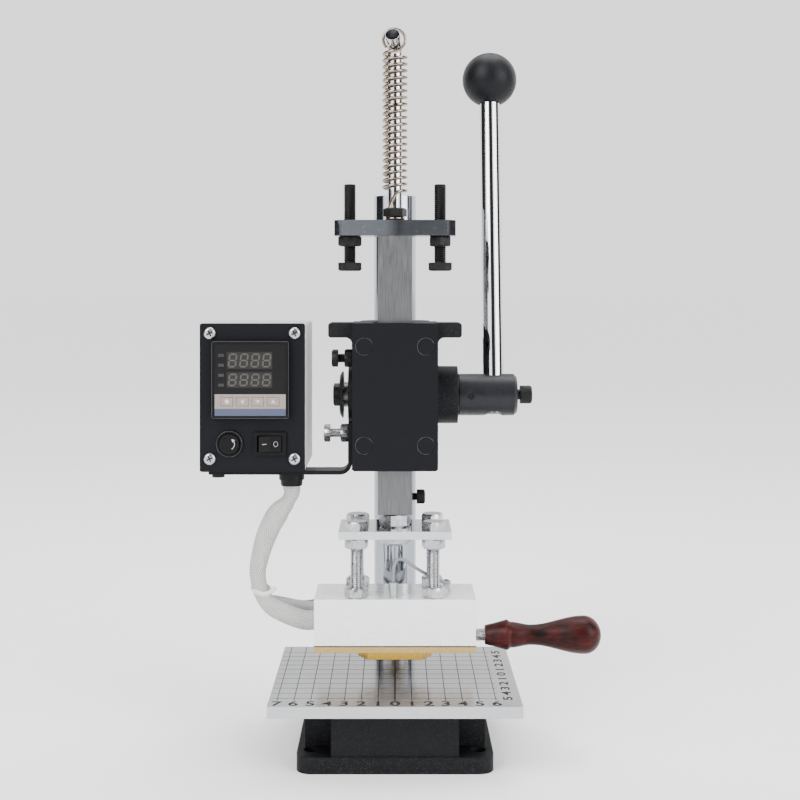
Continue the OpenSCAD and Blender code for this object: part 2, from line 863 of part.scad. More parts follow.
module gib_screws() {
    color("#8d9095") {
        translate([0, ram_y, gib_screw_zs[0]])
            gib_set(-head_w / 2 - bracket_t, gib_stand_lower);
        translate([0, ram_y, gib_screw_zs[1]])
            gib_set(-head_w / 2, gib_stand_upper);
    }
}

module clamp_bolts() {
    color("#2a2b2e")
        for (z = clamp_bolt_zs)
            translate([clamp_ear_w / 2, clamp_ear_y, z])
                rotate([0, 90, 0])
                    round_screw(m8, clamp_ear_w - 2, m8_cap_d, m8_cap_h);
}

module hook_rod() {
    color("#d5d7da")
        translate([0, hook_y, 0])
            rotate([0, 0, -hook_turn])
                union() {
                    translate([0, 0, hook_seat])
                        cylinder(d = hook_d, h = hook_bend_z - hook_seat);
                    translate([0, -hook_bend_r, hook_bend_z])
                        rotate([90, 0, 90])
                            rotate_extrude(angle = hook_bend)
                                translate([hook_bend_r, 0])
                                    circle(d = hook_d);
                    translate([0, -hook_bend_r, hook_bend_z])
                        rotate([hook_bend, 0, 0])
                            translate([0, hook_bend_r, -hook_lap])
                                cylinder(d = hook_d - hook_step, h = hook_tip + hook_lap);
                }
}

module shaft_bushes() {
    color("#b08d4a")
        translate([0, pinion_y, pinion_z]) {
            difference() {
                rod_x(bush_end, boss_right_x, bush_right_r);
                rod_x(bush_end - over, boss_right_x + over, shaft_d / 2 + fit_gap);
            }
            difference() {
                rod_x(boss_left_x, -bush_end, bush_left_r);
                rod_x(boss_left_x - over, -bush_end + over, shaft_d / 2 + fit_gap);
            }
        }
}

// Control box

module control_bracket() {
    leg_x = -head_w / 2 - bracket_t;
    outer_r = bracket_bend_r + bracket_t;
    bend_x = leg_x - bracket_bend_r;
    bend_z = bracket_z + outer_r;
    color("#1e1f21")
        difference() {
            translate([0, ram_y + bracket_w / 2, 0])
                rotate([90, 0, 0])
                    linear_extrude(bracket_w)
                        union() {
                            translate([bracket_far, bracket_z])
                                square([bend_x - bracket_far, bracket_t]);
                            translate([leg_x, bend_z])
                                square([bracket_t, bracket_leg_top - bend_z]);
                            intersection() {
                                translate([bend_x, bend_z])
                                    difference() {
                                        circle(r = outer_r);
                                        circle(r = bracket_bend_r);
                                    }
                                translate([bend_x, bracket_z])
                                    square([outer_r, outer_r]);
                            }
                        }
            translate([0, ram_y, gib_screw_zs[0]])
                rod_x(leg_x - over, -head_w / 2 + over, m6 / 2 + bolt_gap);
            translate([bracket_screw_x, ram_y, bracket_z - over])
                cylinder(d = m4 + 2 * bolt_gap, h = bracket_t + 2 * over);
            translate([heater_gland_x, heater_gland_y, bracket_z - over])
                cylinder(d = gland_neck_d + 2 * fit_gap, h = bracket_t + 2 * over);
        }
}

module bracket_screws() {
    color("#2a2b2e")
        translate([bracket_screw_x, ram_y, bracket_z])
            mirror([0, 0, 1])
                round_screw(m4, bracket_t + bracket_screw_len, bracket_screw_d, bracket_screw_head_h);
}

module box_shell() {
    inner_w = box_w - 2 * box_wall;
    inner_h = box_h - 2 * box_wall;
    color("#b9bcc0")
        difference() {
            rounded_face(box_left + box_w / 2, box_z + box_h / 2, box_w, box_h, box_corner_r,
                shell_front, box_rear);
            difference() {
                translate([box_left + box_wall, shell_front - over, box_z + box_wall])
                    cube([inner_w, box_rear - shell_front - box_wall + over, inner_h]);
                for (x = [box_left, box_right - post_w]) {
                    translate([x, shell_front - 2 * over, box_z])
                        cube([post_w, post_len + 2 * over, panel_screw_rise_z + post_rim]);
                    translate([x, shell_front - 2 * over, box_top - panel_screw_inset_z - post_rim])
                        cube([post_w, post_len + 2 * over, panel_screw_inset_z + post_rim]);
                }
            }
            at_panel_screws()
                rod_y(shell_front - over, shell_front + panel_screw_len, m4 / 2 + fit_gap);
            translate([heater_gland_x, heater_gland_y, box_z - over])
                cylinder(d = gland_neck_d + 2 * fit_gap, h = box_wall + 2 * over);
            translate([mains_gland_x, 0, mains_gland_z])
                rod_y(box_rear - box_wall - over, box_rear + over, gland_neck_d / 2 + fit_gap);
            translate([bracket_screw_x, ram_y, box_z - over])
                cylinder(d = m4 + 2 * fit_gap, h = bracket_screw_len + 0.5 + over);
        }
}

module box_panel() {
    color("#1d1e21")
        difference() {
            rounded_face(box_left + box_w / 2, box_z + box_h / 2, box_w, box_h, box_corner_r,
                box_front, box_front + panel_t);
            translate([controller_x - controller_body_w / 2 - slide_gap, box_front - over,
                controller_z - controller_body_w / 2 - slide_gap])
                cube([controller_body_w + 2 * slide_gap, panel_t + 2 * over,
                    controller_body_w + 2 * slide_gap]);
            translate([switch_x - switch_body_w / 2 - slide_gap, box_front - over,
                low_row_z - switch_body_h / 2 - slide_gap])
                cube([switch_body_w + 2 * slide_gap, panel_t + 2 * over, switch_body_h + 2 * slide_gap]);
            translate([fuse_x, 0, low_row_z])
                rod_y(box_front - over, box_front + panel_t + over, fuse_body_d / 2 + slide_gap);
            at_panel_screws()
                rod_y(box_front - over, box_front + panel_t + over, m4 / 2 + bolt_gap);
        }
}

module panel_screws() {
    color("#cfd1d4")
        at_panel_screws()
            translate([0, box_front, 0])
                rotate([90, 0, 0])
                    round_screw(m4, panel_t + panel_screw_len - 1, panel_screw_head_d, panel_screw_head_h);
}

// The places of the four controller keys
function key_x(i) = key_row_x + i * face_pitch;

// A block in front of the controller, centred on x and z
module face_block(x, z, w, h, y0, y1) {
    translate([x - w / 2, y0, z - h / 2])
        cube([w, y1 - y0, h]);
}

module controller_case() {
    face_back = key_front + face_sink + face_t;
    color("#202124")
        difference() {
            union() {
                face_block(controller_x, controller_z, controller_w, controller_w, key_front, box_front);
                face_block(controller_x, controller_z, controller_body_w, controller_body_w,
                    box_front - over, box_front + controller_body_d);
            }
            face_block(controller_x, controller_z, face_w + 2 * fit_gap, face_w + 2 * fit_gap,
                key_front - over, face_back);
            for (i = [0:3])
                face_block(key_x(i), key_row_z, key_w + 2 * key_gap, key_h + 2 * key_gap,
                    face_back - over, face_back + key_pocket);
        }
}

module controller_face() {
    color("#2b2c2f")
        difference() {
            face_block(controller_x, controller_z, face_w, face_w, key_front + face_sink,
                key_front + face_sink + face_t);
            for (i = [0:3])
                face_block(key_x(i), key_row_z, key_w + 2 * key_gap, key_h + 2 * key_gap,
                    key_front - over, key_front + face_t + over);
        }
}

module controller_key(i) {
    color("#b5a9a0")
        face_block(key_x(i), key_row_z, key_w, key_h, key_front, key_front + key_t);
}

module fuse_holder() {
    color("#1a1b1d")
        translate([fuse_x, 0, low_row_z])
            difference() {
                union() {
                    rod_y(box_front - fuse_flange_t, box_front, fuse_flange_d / 2);
                    rod_y(box_front - over, box_front + fuse_body_len, fuse_body_d / 2);
                }
                rod_y(box_front - fuse_flange_t - over, box_front - fuse_flange_t + fuse_cap_sink,
                    fuse_cap_d / 2 + seat_gap);
            }
}

module fuse_cap() {
    cap_back = box_front - fuse_flange_t + fuse_cap_sink - slide_gap;
    color("#141516")
        translate([fuse_x, 0, low_row_z])
            rod_y(cap_back - fuse_cap_t, cap_back, fuse_cap_d / 2);
}

module switch_body() {
    color("#17181a")
        difference() {
            union() {
                face_block(switch_x, low_row_z, switch_w, switch_h, box_front - switch_flange_t, box_front);
                face_block(switch_x, low_row_z, switch_body_w, switch_body_h, box_front - over,
                    box_front + switch_body_d);
            }
            face_block(switch_x, low_row_z, rocker_w + 2 * rocker_gap, rocker_h + 2 * rocker_side_gap,
                box_front - switch_flange_t - over, box_front + rocker_well);
            translate([switch_x, rocker_axis_y, low_row_z])
                cylinder(d = rocker_pin_d + 2 * slide_gap,
                    h = rocker_h + 2 * rocker_pin_len + 2 * slide_gap, center = true);
        }
}

module rocker() {
    half = rocker_w / 2;
    color("#141516")
        translate([switch_x, rocker_axis_y, low_row_z])
            rotate([0, 0, rocker_tilt])
                union() {
                    translate([0, 0, -rocker_h / 2])
                        linear_extrude(rocker_h)
                            polygon([[-half, -3.4], [0, -2.4], [half, -3.4], [half - 1.5, 2.5],
                                [1.5, 5.5], [-1.5, 5.5], [-half + 1.5, 2.5]]);
                    cylinder(d = rocker_pin_d, h = rocker_h + 2 * rocker_pin_len, center = true);
                }
}

// A round gland up +Z from z = 0: neck in the walls below, collar and dome above
module gland(bore_d, neck) {
    difference() {
        union() {
            translate([0, 0, -neck])
                cylinder(d = gland_neck_d, h = neck + over);
            cylinder(d = gland_d, h = gland_collar_h);
            cylinder(d1 = gland_d - 1, d2 = gland_dome_d, h = gland_h);
        }
        if (bore_d > 0)
            translate([0, 0, -neck - over])
                cylinder(d = bore_d, h = gland_h + neck + 2 * over);
    }
}

module cable_glands() {
    color("#17181a") {
        translate([heater_gland_x, heater_gland_y, bracket_z])
            mirror([0, 0, 1])
                gland(0, bracket_t + box_wall);
        translate([mains_gland_x, box_rear, mains_gland_z])
            rotate([-90, 0, 0])
                gland(mains_bore_d, gland_neck);
    }
}

// Lever

module pinion_shaft() {
    color("#8f9296")
        translate([0, pinion_y, pinion_z])
            difference() {
                union() {
                    rod_x(shaft_left, shaft_right, shaft_d / 2);
                    along_x(-pinion_w / 2, pinion_w / 2)
                        polygon(pinion_outline);
                }
                rod_x(shaft_left - over, shaft_left + shaft_thread + 1, m8 / 2 + fit_gap);
                translate([hub_pin_x, 0, 0])
                    rod_y(-shaft_d, shaft_d, hub_pin_d / 2 + fit_gap);
            }
}

module lever_hub() {
    color("#202124")
        translate([0, pinion_y, pinion_z])
            difference() {
                union() {
                    rod_x(hub_x, hub_end - hub_chamfer, hub_d / 2);
                    translate([hub_end - hub_chamfer, 0, 0])
                        rotate([0, 90, 0])
                            cylinder(d1 = hub_d, d2 = hub_d - 2 * hub_chamfer, h = hub_chamfer);
                }
                rod_x(hub_x - over, shaft_right + 0.5, shaft_d / 2 + fit_gap);
                rod_x(lever_rod_x, hub_end + over, rod_screw_d / 2 + fit_gap);
                translate([lever_rod_x, 0, 0])
                    rotate([-lever_lean, 0, 0])
                        cylinder(r = rod_d / 2 + fit_gap, h = 2 * hub_d, center = true);
                translate([hub_pin_x, 0, 0])
                    rod_y(-hub_d, hub_d, hub_pin_d / 2 + fit_gap);
            }
}

module hub_pin() {
    color("#6f7276")
        translate([hub_pin_x, pinion_y, pinion_z])
            rod_y(-hub_d / 2 + 0.6, hub_d / 2 - 0.6, hub_pin_d / 2);
}

module lever_rod() {
    color("#d5d7da")
        translate([lever_rod_x, pinion_y, pinion_z])
            rotate([-lever_lean, 0, 0])
                translate([0, 0, -hub_d / 2 + 1.5])
                    cylinder(d = rod_d, h = lever_len + knob_socket + hub_d / 2 - 1.5);
}

module ball_knob() {
    color("#141516")
        translate([lever_rod_x, pinion_y, pinion_z])
            rotate([-lever_lean, 0, 0])
                translate([0, 0, lever_len])
                    difference() {
                        sphere(d = knob_d);
                        translate([-knob_d, -knob_d, -knob_flat - knob_d])
                            cube([2 * knob_d, 2 * knob_d, knob_d]);
                        translate([0, 0, -knob_d])
                            cylinder(r = rod_d / 2 + fit_gap, h = knob_d + knob_socket + fit_gap);
                    }
}

module rod_clamp_screw() {
    head_x = hub_end + rod_screw_proud;
    color("#2a2b2e")
        translate([0, pinion_y, pinion_z])
            union() {
                rod_x(lever_rod_x + rod_d / 2 + fit_gap, head_x + 1, rod_screw_d / 2);
                translate([head_x, 0, 0])
                    rotate([0, 90, 0])
                        cylinder(d = rod_screw_head_d, h = rod_screw_head_h);
            }
}

module shaft_washer() {
    color("#1d1e20")
        translate([0, pinion_y, pinion_z])
            difference() {
                rod_x(shaft_left - washer_t, shaft_left, washer_d / 2);
                rod_x(shaft_left - washer_t - over, shaft_left + over, m8 / 2 + bolt_gap);
            }
}

module shaft_bolt() {
    color("#202124")
        translate([shaft_left - washer_t, pinion_y, pinion_z])
            rotate([0, -90, 0])
                hex_bolt(m8, shaft_thread + washer_t, m8_flats, m8_head_h - 1);
}

// Ram and hanging tool

module ram_bar() {
    pitch_y = pinion_y - pitch_r;
    half_gap = tooth_pitch / 4 + backlash / 4;
    slope = tan(pressure_angle);
    root_half = half_gap - dedendum * slope;
    mouth_half = half_gap + (addendum + over) * slope;
    color("#8d9094")
        difference() {
            translate([-ram_w / 2, ram_front, ram_z])
                cube([ram_w, ram_w, ram_len]);
            for (k = [-rack_gaps_below:rack_gaps_above])
                along_x(-ram_w / 2 - over, ram_w / 2 + over)
                    translate([pitch_y, pinion_z + k * tooth_pitch])
                        polygon([[-dedendum, -root_half], [addendum + over, -mouth_half],
                            [addendum + over, mouth_half], [-dedendum, root_half]]);
            translate([0, ram_y, ram_z - over])
                cylinder(d = m12 + 2 * fit_gap, h = stem_into_ram + 1 + over);
            translate([0, ram_y, stem_screw_z])
                rod_x(0, ram_w, m5 / 2 + fit_gap);
            translate([0, ram_y, ram_top - top_thread - 1])
                cylinder(d = m8 + 2 * fit_gap, h = top_thread + 1 + over);
        }
}

module top_bar() {
    x1 = bar_w / 2;
    y1 = bar_d / 2;
    color("#232529")
        translate([0, ram_y, ram_top])
            difference() {
                linear_extrude(bar_t)
                    polygon([[-x1 + bar_clip, -y1], [x1 - bar_clip, -y1],
                        [x1, -y1 + bar_clip], [x1, y1 - bar_clip],
                        [x1 - bar_clip, y1], [-x1 + bar_clip, y1],
                        [-x1, y1 - bar_clip], [-x1, -y1 + bar_clip]]);
                translate([0, 0, -over])
                    cylinder(d = m8 + 2 * bolt_gap, h = bar_t + 2 * over);
                for (x = [-1, 1])
                    translate([x * stop_span / 2, 0, -over])
                        cylinder(d = m8 + 2 * fit_gap, h = bar_t + 2 * over);
            }
}

module top_bar_bolt() {
    color("#2a2b2e")
        translate([0, ram_y, bar_bolt_z])
            hex_bolt(m8, bar_bolt_z - ram_top + top_thread, m8_flats, m8_head_h);
}

module stop_lock_nuts() {
    color("#26272a")
        for (x = [-1, 1])
            translate([x * stop_span / 2, ram_y, ram_top - m8_nut_h])
                hex_nut(m8, m8_flats, m8_nut_h);
}

module stop_bolt(side) {
    color("#26272a")
        translate([side * stop_span / 2, ram_y, stop_head_z + m8_head_h])
            mirror([0, 0, 1])
                hex_bolt(m8, stop_len, m8_flats, m8_head_h);
}

module hanger_stem() {
    color("#c3c6ca")
        translate([0, ram_y, hanger_z - m12_thin_nut_h - stem_end])
            cylinder(d = m12, h = ram_z + stem_into_ram - hanger_z + m12_thin_nut_h + stem_end);
}

module stem_nuts() {
    color("#cfd1d4") {
        translate([0, ram_y, hanger_top])
            hex_nut(m12, m12_flats, m12_nut_h);
        translate([0, ram_y, hanger_z - m12_thin_nut_h])
            hex_nut(m12, m12_flats, m12_thin_nut_h);
    }
}

module stem_clamp_screw() {
    color("#1d1e20")
        translate([ram_w / 2 + stem_screw_stand, ram_y, stem_screw_z])
            rotate([0, 90, 0])
                round_screw(m5, ram_w / 2 + stem_screw_stand - m12 / 2 - fit_gap, m5_cap_d, m5_cap_h);
}

module hanger_plate() {
    color("#c3c6ca")
        difference() {
            translate([-hanger_w / 2, block_front_y, hanger_z])
                cube([hanger_w, block_d, hanger_t]);
            translate([0, ram_y, hanger_z - over])
                cylinder(d = m12 + 2 * bolt_gap, h = hanger_t + 2 * over);
            at_hanger_bolts()
                translate([0, 0, hanger_z - over])
                    cylinder(d = m8 + 2 * bolt_gap, h = hanger_t + 2 * over);
        }
}

module hanger_bolts() {
    color("#cfd1d4")
        at_hanger_bolts()
            translate([0, 0, hanger_top])
                hex_bolt(m8, hanger_t + hanger_gap + hanger_thread, m8_flats, m8_head_h);
}

module hanger_nuts() {
    color("#cfd1d4")
        at_hanger_bolts() {
            translate([0, 0, hanger_z - m8_nut_h])
                hex_nut(m8, m8_flats, m8_nut_h);
            translate([0, 0, block_top])
                hex_nut(m8, m8_flats, m8_nut_h);
        }
}

module heating_block() {
    color("#e4e5e7")
        difference() {
            translate([-block_w / 2, block_front_y, block_z])
                cube([block_w, block_d, block_h]);
            at_hanger_bolts()
                translate([0, 0, block_top - hanger_thread - 1])
                    cylinder(d = m8 + 2 * fit_gap, h = hanger_thread + 1 + over);
            for (y = [-1, 1])
                translate([0, ram_y + y * cartridge_span / 2, cartridge_z])
                    rod_x(-block_w / 2 - over, -block_w / 2 + cartridge_len + 1, cartridge_d / 2 + fit_gap);
            translate([0, handle_y, handle_z])
                rod_x(block_w / 2 - stud_in_block - 1, block_w / 2 + over, m8 / 2 + fit_gap);
            for (x = [-1, 1], y = [-1, 1])
                translate([x * die_screw_span_x / 2, ram_y + y * die_screw_span_y / 2, block_z - over])
                    cylinder(d = m4 + 2 * fit_gap, h = die_screw_len - die_plate_t + 1 + over);
            translate([probe_x, probe_y, block_top - probe_depth - 0.5])
                cylinder(d = probe_d + 2 * fit_gap, h = probe_depth + 0.5 + over);
        }
}

module heater_cartridges() {
    color("#9a9ca0")
        for (y = [-1, 1])
            translate([0, ram_y + y * cartridge_span / 2, cartridge_z])
                rod_x(-block_w / 2 + 1, -block_w / 2 + cartridge_len, cartridge_d / 2);
}

module die_plate() {
    color("#b98d3a")
        difference() {
            translate([-block_w / 2, block_front_y, die_plate_z])
                cube([block_w, block_d, die_plate_t]);
            for (x = [-1, 1], y = [-1, 1])
                translate([x * die_screw_span_x / 2, ram_y + y * die_screw_span_y / 2, die_plate_z]) {
                    translate([0, 0, -over])
                        cylinder(d = m4 + 2 * bolt_gap, h = die_plate_t + 2 * over);
                    translate([0, 0, -fit_gap])
                        cylinder(d1 = die_screw_head_d + 4 * fit_gap, d2 = m4 + 4 * fit_gap,
                            h = die_screw_head_h + 2 * fit_gap);
                }
        }
}

module die_plate_screws() {
    color("#b7babd")
        for (x = [-1, 1], y = [-1, 1])
            translate([x * die_screw_span_x / 2, ram_y + y * die_screw_span_y / 2, die_plate_z])
                mirror([0, 0, 1])
                    flush_screw(m4, die_screw_len, die_screw_head_d, die_screw_head_h);
}

module stamping_die() {
    x1 = die_w / 2;
    y1 = die_d / 2;
    dot_ring_r = (relief_ring_r - relief_ring_w + relief_hub_d / 2) / 2;
    color("#c79c43")
        translate([0, ram_y, die_z])
            union() {
                translate([0, 0, relief_t])
                    linear_extrude(die_t - relief_t)
                        polygon([[-x1 + die_clip_x, -y1], [x1 - die_clip_x, -y1], [x1, -y1 + die_clip_y],
                            [x1, y1 - die_clip_y], [x1 - die_clip_x, y1], [-x1 + die_clip_x, y1],
                            [-x1, y1 - die_clip_y], [-x1, -y1 + die_clip_y]]);
                difference() {
                    cylinder(r = relief_ring_r, h = relief_t + 0.5);
                    translate([0, 0, -over])
                        cylinder(r = relief_ring_r - relief_ring_w, h = relief_t + over);
                }
                cylinder(d = relief_hub_d, h = relief_t + 0.5);
                for (i = [0:relief_dots - 1])
                    rotate([0, 0, 360 * i / relief_dots])
                        translate([dot_ring_r, 0, 0])
                            cylinder(d = relief_dot_d, h = relief_t + 0.5);
            }
}

module thermocouple_probe() {
    color("#bfc2c6")
        translate([probe_x, probe_y, 0])
            union() {
                translate([0, 0, block_top - probe_depth])
                    cylinder(d = probe_d, h = probe_top - block_top + probe_depth);
                translate([0, 0, probe_ferrule_z])
                    cylinder(d = probe_ferrule_d, h = probe_top - probe_ferrule_z);
            }
}

module handle_stud() {
    color("#cfd1d4")
        translate([0, handle_y, handle_z])
            rod_x(block_w / 2 - stud_in_block, handle_x + stud_in_handle, m8 / 2);
}

module wooden_handle() {
    color("#4a1512")
        translate([handle_x, handle_y, handle_z])
            difference() {
                rotate([0, 90, 0])
                    rotate_extrude()
                        polygon(handle_outline);
                rod_x(-over, stud_in_handle + 0.5, m8 / 2 + fit_gap);
            }
}

// Spring and leads

module return_spring() {
    color("#c8bda8")
        tube(spring_path, wire_d / 2, wire_sides, [0, 0, 1]);
}

module heater_sleeve() {
    color("#e6e4de")
        tube(sleeve_route, sleeve_d / 2, sleeve_sides, [0, 1, 0]);
}

module thermocouple_lead() {
    color("#a9acb0")
        tube(lead_route, lead_d / 2, lead_sides, [0, 1, 0]);
}

base_casting();
table_plate();
table_screws();
column();
column_bolt();
head_housing();
front_cover();
cover_screws();
gib_strip();
gib_screws();
clamp_bolts();
hook_rod();
shaft_bushes();
control_bracket();
bracket_screws();
box_shell();
box_panel();
panel_screws();
controller_case();
controller_face();
fuse_holder();
switch_body();
cable_glands();
pinion_shaft();
lever_hub();
hub_pin();
lever_rod();
ball_knob();
rod_clamp_screw();
shaft_washer();
shaft_bolt();
ram_bar();
top_bar();
top_bar_bolt();
stop_lock_nuts();
hanger_stem();
stem_nuts();
stem_clamp_screw();
hanger_plate();
hanger_bolts();
hanger_nuts();
heating_block();
heater_cartridges();
die_plate();
die_plate_screws();
stamping_die();
thermocouple_probe();
handle_stud();
wooden_handle();
stop_bolt(-1);  // stop_bolt_left
stop_bolt(1);  // stop_bolt_right
rocker();
fuse_cap();
controller_key(0);  // key_set
controller_key(1);  // key_shift
controller_key(2);  // key_down
controller_key(3);  // key_up
return_spring();
heater_sleeve();
thermocouple_lead();
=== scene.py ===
"""Looks of a bench hot foil stamping press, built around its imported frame."""

import logging
import math
from collections.abc import Sequence
from dataclasses import dataclass, field
from enum import Enum

import bpy
from mathutils import Matrix, Vector


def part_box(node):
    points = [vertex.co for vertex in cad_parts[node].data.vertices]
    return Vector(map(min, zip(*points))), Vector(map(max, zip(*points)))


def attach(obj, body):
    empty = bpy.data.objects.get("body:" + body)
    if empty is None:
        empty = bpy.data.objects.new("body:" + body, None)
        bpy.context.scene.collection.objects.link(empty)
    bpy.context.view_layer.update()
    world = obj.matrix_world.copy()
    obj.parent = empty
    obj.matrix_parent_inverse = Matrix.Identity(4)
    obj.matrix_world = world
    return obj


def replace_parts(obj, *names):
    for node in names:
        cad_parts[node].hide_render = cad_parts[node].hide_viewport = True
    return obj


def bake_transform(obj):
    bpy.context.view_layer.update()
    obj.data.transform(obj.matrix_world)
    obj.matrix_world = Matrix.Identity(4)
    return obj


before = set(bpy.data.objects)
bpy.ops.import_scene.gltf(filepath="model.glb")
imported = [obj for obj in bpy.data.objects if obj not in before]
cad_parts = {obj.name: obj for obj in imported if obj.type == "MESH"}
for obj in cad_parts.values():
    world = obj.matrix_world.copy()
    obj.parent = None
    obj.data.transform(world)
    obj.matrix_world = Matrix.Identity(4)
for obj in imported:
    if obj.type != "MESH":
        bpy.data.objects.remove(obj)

LOG = logging.getLogger("foil_press")
MM = 0.001

Point = tuple[float, float, float]
Colour = tuple[float, float, float]
Pair = tuple[float, float]
Outline = Sequence[Pair]
Cap = tuple[float, float, float]  # Head, height and socket of a cap screw.
Stops = list[tuple[float, Colour]]
Faces = list[tuple[int, ...]]

# Colour ramps and noise.
RAMP_END = 0.0001
NOISE_SPREAD = (0.3, 0.7)
NOISE_ROUGH = 0.6
EDGE_SAMPLES = 4

# Edges under these angles, in degrees, are shaded smooth.
CRISP = 30.0
SMOOTH = 40.0
SOFT = 60.0

# Forms of the fasteners: shares of their sizes, and millimetres.
HEX_SIDES = 48
HEX_CHAMFER = (0.97, 0.6)
HEX_RIM = 0.95
NUT_SINK = (0.4, 0.5)
THREAD_DEPTH = 0.55
THREAD_ROWS = 4
THREAD_LEAST = 8
CAP_SIDES = 72
CAP_KNURL = 0.22
CAP_DROPS = (1.0, 0.8)
CAP_INSETS = (0.1, 0.8)
CAP_SOCKET = 0.45
PAN_DOME = ((1.0, 0.0), (1.0, 0.35), (0.94, 0.65), (0.78, 0.9), (0.5, 1.0))

# Other forms: least bevel and radius, thickness of a sign, the slant at which a
# tube takes another side, a figure's height as a share of its type size, and
# the points round a thin rim.
LEAST_EDGE = 0.001
LEAST_R = 0.02
SIGN_T = 0.04
ALONG = 0.95
FIGURE_SHARE = 0.7
WIRE_SIDES = 6


class Body(Enum):
    """The rigid bodies of the press."""

    BASE = "base"
    HEAD = "head"
    RAM = "ram"
    LEVER = "lever"
    STOP_LEFT = "stop_bolt_left"
    STOP_RIGHT = "stop_bolt_right"
    ROCKER = "rocker"
    FUSE_CAP = "fuse_cap"


class Axis(Enum):
    """Where the local +Z of a turned piece points."""

    UP = (0.0, "X")
    DOWN = (180.0, "X")
    RIGHT = (90.0, "Y")
    LEFT = (-90.0, "Y")
    FRONT = (90.0, "X")
    BACK = (-90.0, "X")

    def turn(self) -> Matrix:
        """Gives the rotation that takes local +Z to this direction."""
        return turned(*self.value)


# Finishes


class NodeKit:
    """Adds and joins the nodes of one material, or of the room."""

    def __init__(self, owner: bpy.types.Material | bpy.types.World, shader: str) -> None:
        """Keeps the tree and its main shader.

        Args:
            owner: The material or the room to work on.
            shader: Name of its main shader.
        """
        owner.use_nodes = True
        self.tree = owner.node_tree
        self.shader = self.tree.nodes[shader]

    def add(self, kind: str, **values: object) -> bpy.types.Node:
        """Adds a node and sets its inputs or its properties.

        Args:
            kind: The node's type, without the word ShaderNode in front.
            values: Socket names, with _ for a space, or property names.

        Returns:
            The new node.
        """
        node = self.tree.nodes.new("ShaderNode" + kind)
        for name, value in values.items():
            socket = node.inputs.get(name.replace("_", " "))
            if socket is not None:
                socket.default_value = value
            else:
                setattr(node, name, value)
        return node

    def link(self, source: bpy.types.NodeSocket, target: bpy.types.NodeSocket) -> None:
        """Joins an output to an input."""
        self.tree.links.new(source, target)

    def split(self, place: str) -> bpy.types.Node:
        """Adds a node that splits a place into X, Y and Z.

        Args:
            place: Which place it is: Generated, Object or UV.

        Returns:
            The new node.
        """
        parts = self.add("SeparateXYZ")
        self.link(self.add("TexCoord").outputs[place], parts.inputs["Vector"])
        return parts

    def reckon(self, operation: str, *values: bpy.types.NodeSocket | float) -> bpy.types.NodeSocket:
        """Adds a sum.

        Args:
            operation: What is done with the values.
            values: Numbers, or outputs of other nodes.

        Returns:
            The result.
        """
        node = self.add("Math", operation=operation)
        for socket, value in zip(node.inputs, values):
            if isinstance(value, bpy.types.NodeSocket):
                self.link(value, socket)
            else:
                socket.default_value = value
        return node.outputs["Value"]

    def grain(self, scale: float, stretch: Point, detail: float, uv: bool = False) -> bpy.types.NodeSocket:
        """Adds stretched noise over the piece.

        Args:
            scale: Noise cells in a metre, or across the UV square.
            stretch: Factor on each axis.
            detail: Octaves of the noise.
            uv: True to lay it on the UVs and not on the piece's own frame.

        Returns:
            The noise's value output.
        """
        scaled = self.add("Mapping", Scale=stretch)
        noise = self.add("TexNoise", Scale=scale, Detail=detail, Roughness=NOISE_ROUGH)
        self.link(self.add("TexCoord").outputs["UV" if uv else "Object"], scaled.inputs["Vector"])
        self.link(scaled.outputs["Vector"], noise.inputs["Vector"])
        return noise.outputs["Fac"]

    def ramp(self, value: bpy.types.NodeSocket, stops: Stops) -> bpy.types.NodeSocket:
        """Turns a value into colours.

        Args:
            value: The output that drives the ramp.
            stops: Places from 0 to 1 in rising order, and their colours.

        Returns:
            The colour output.
        """
        node = self.add("ValToRGB")
        points = node.color_ramp.elements
        points[0].position, points[-1].position = 0.0, 1.0
        points[0].color = (*stops[0][1], 1.0)
        points[-1].color = (*stops[-1][1], 1.0)
        for place, colour in stops:
            points.new(min(max(place, RAMP_END), 1.0 - RAMP_END)).color = (*colour, 1.0)
        self.link(value, node.inputs["Fac"])
        return node.outputs["Color"]

    def between(self, value: bpy.types.NodeSocket, low: float, high: float) -> bpy.types.NodeSocket:
        """Maps the noise's usual spread to a range.

        Args:
            value: The output to map.
            low: Result at the lower end of the spread.
            high: Result at its upper end.

        Returns:
            The mapped output.
        """
        first, last = NOISE_SPREAD
        node = self.add("MapRange", From_Min=first, From_Max=last, To_Min=low, To_Max=high)
        self.link(value, node.inputs["Value"])
        return node.outputs["Result"]

    def relief(self, height: bpy.types.NodeSocket, depth_mm: float, edge_mm: float) -> None:
        """Gives the shader a bump over softly rounded edges.

        Args:
            height: The output that is raised.
            depth_mm: Height of the bump.
            edge_mm: Radius of the rounded edges.
        """
        bump = self.add("Bump", Strength=1.0, Distance=depth_mm * MM)
        self.link(height, bump.inputs["Height"])
        if edge_mm > 0:
            edge = self.add("Bevel", Radius=edge_mm * MM, samples=EDGE_SAMPLES)
            self.link(edge.outputs["Normal"], bump.inputs["Normal"])
        self.link(bump.outputs["Normal"], self.shader.inputs["Normal"])


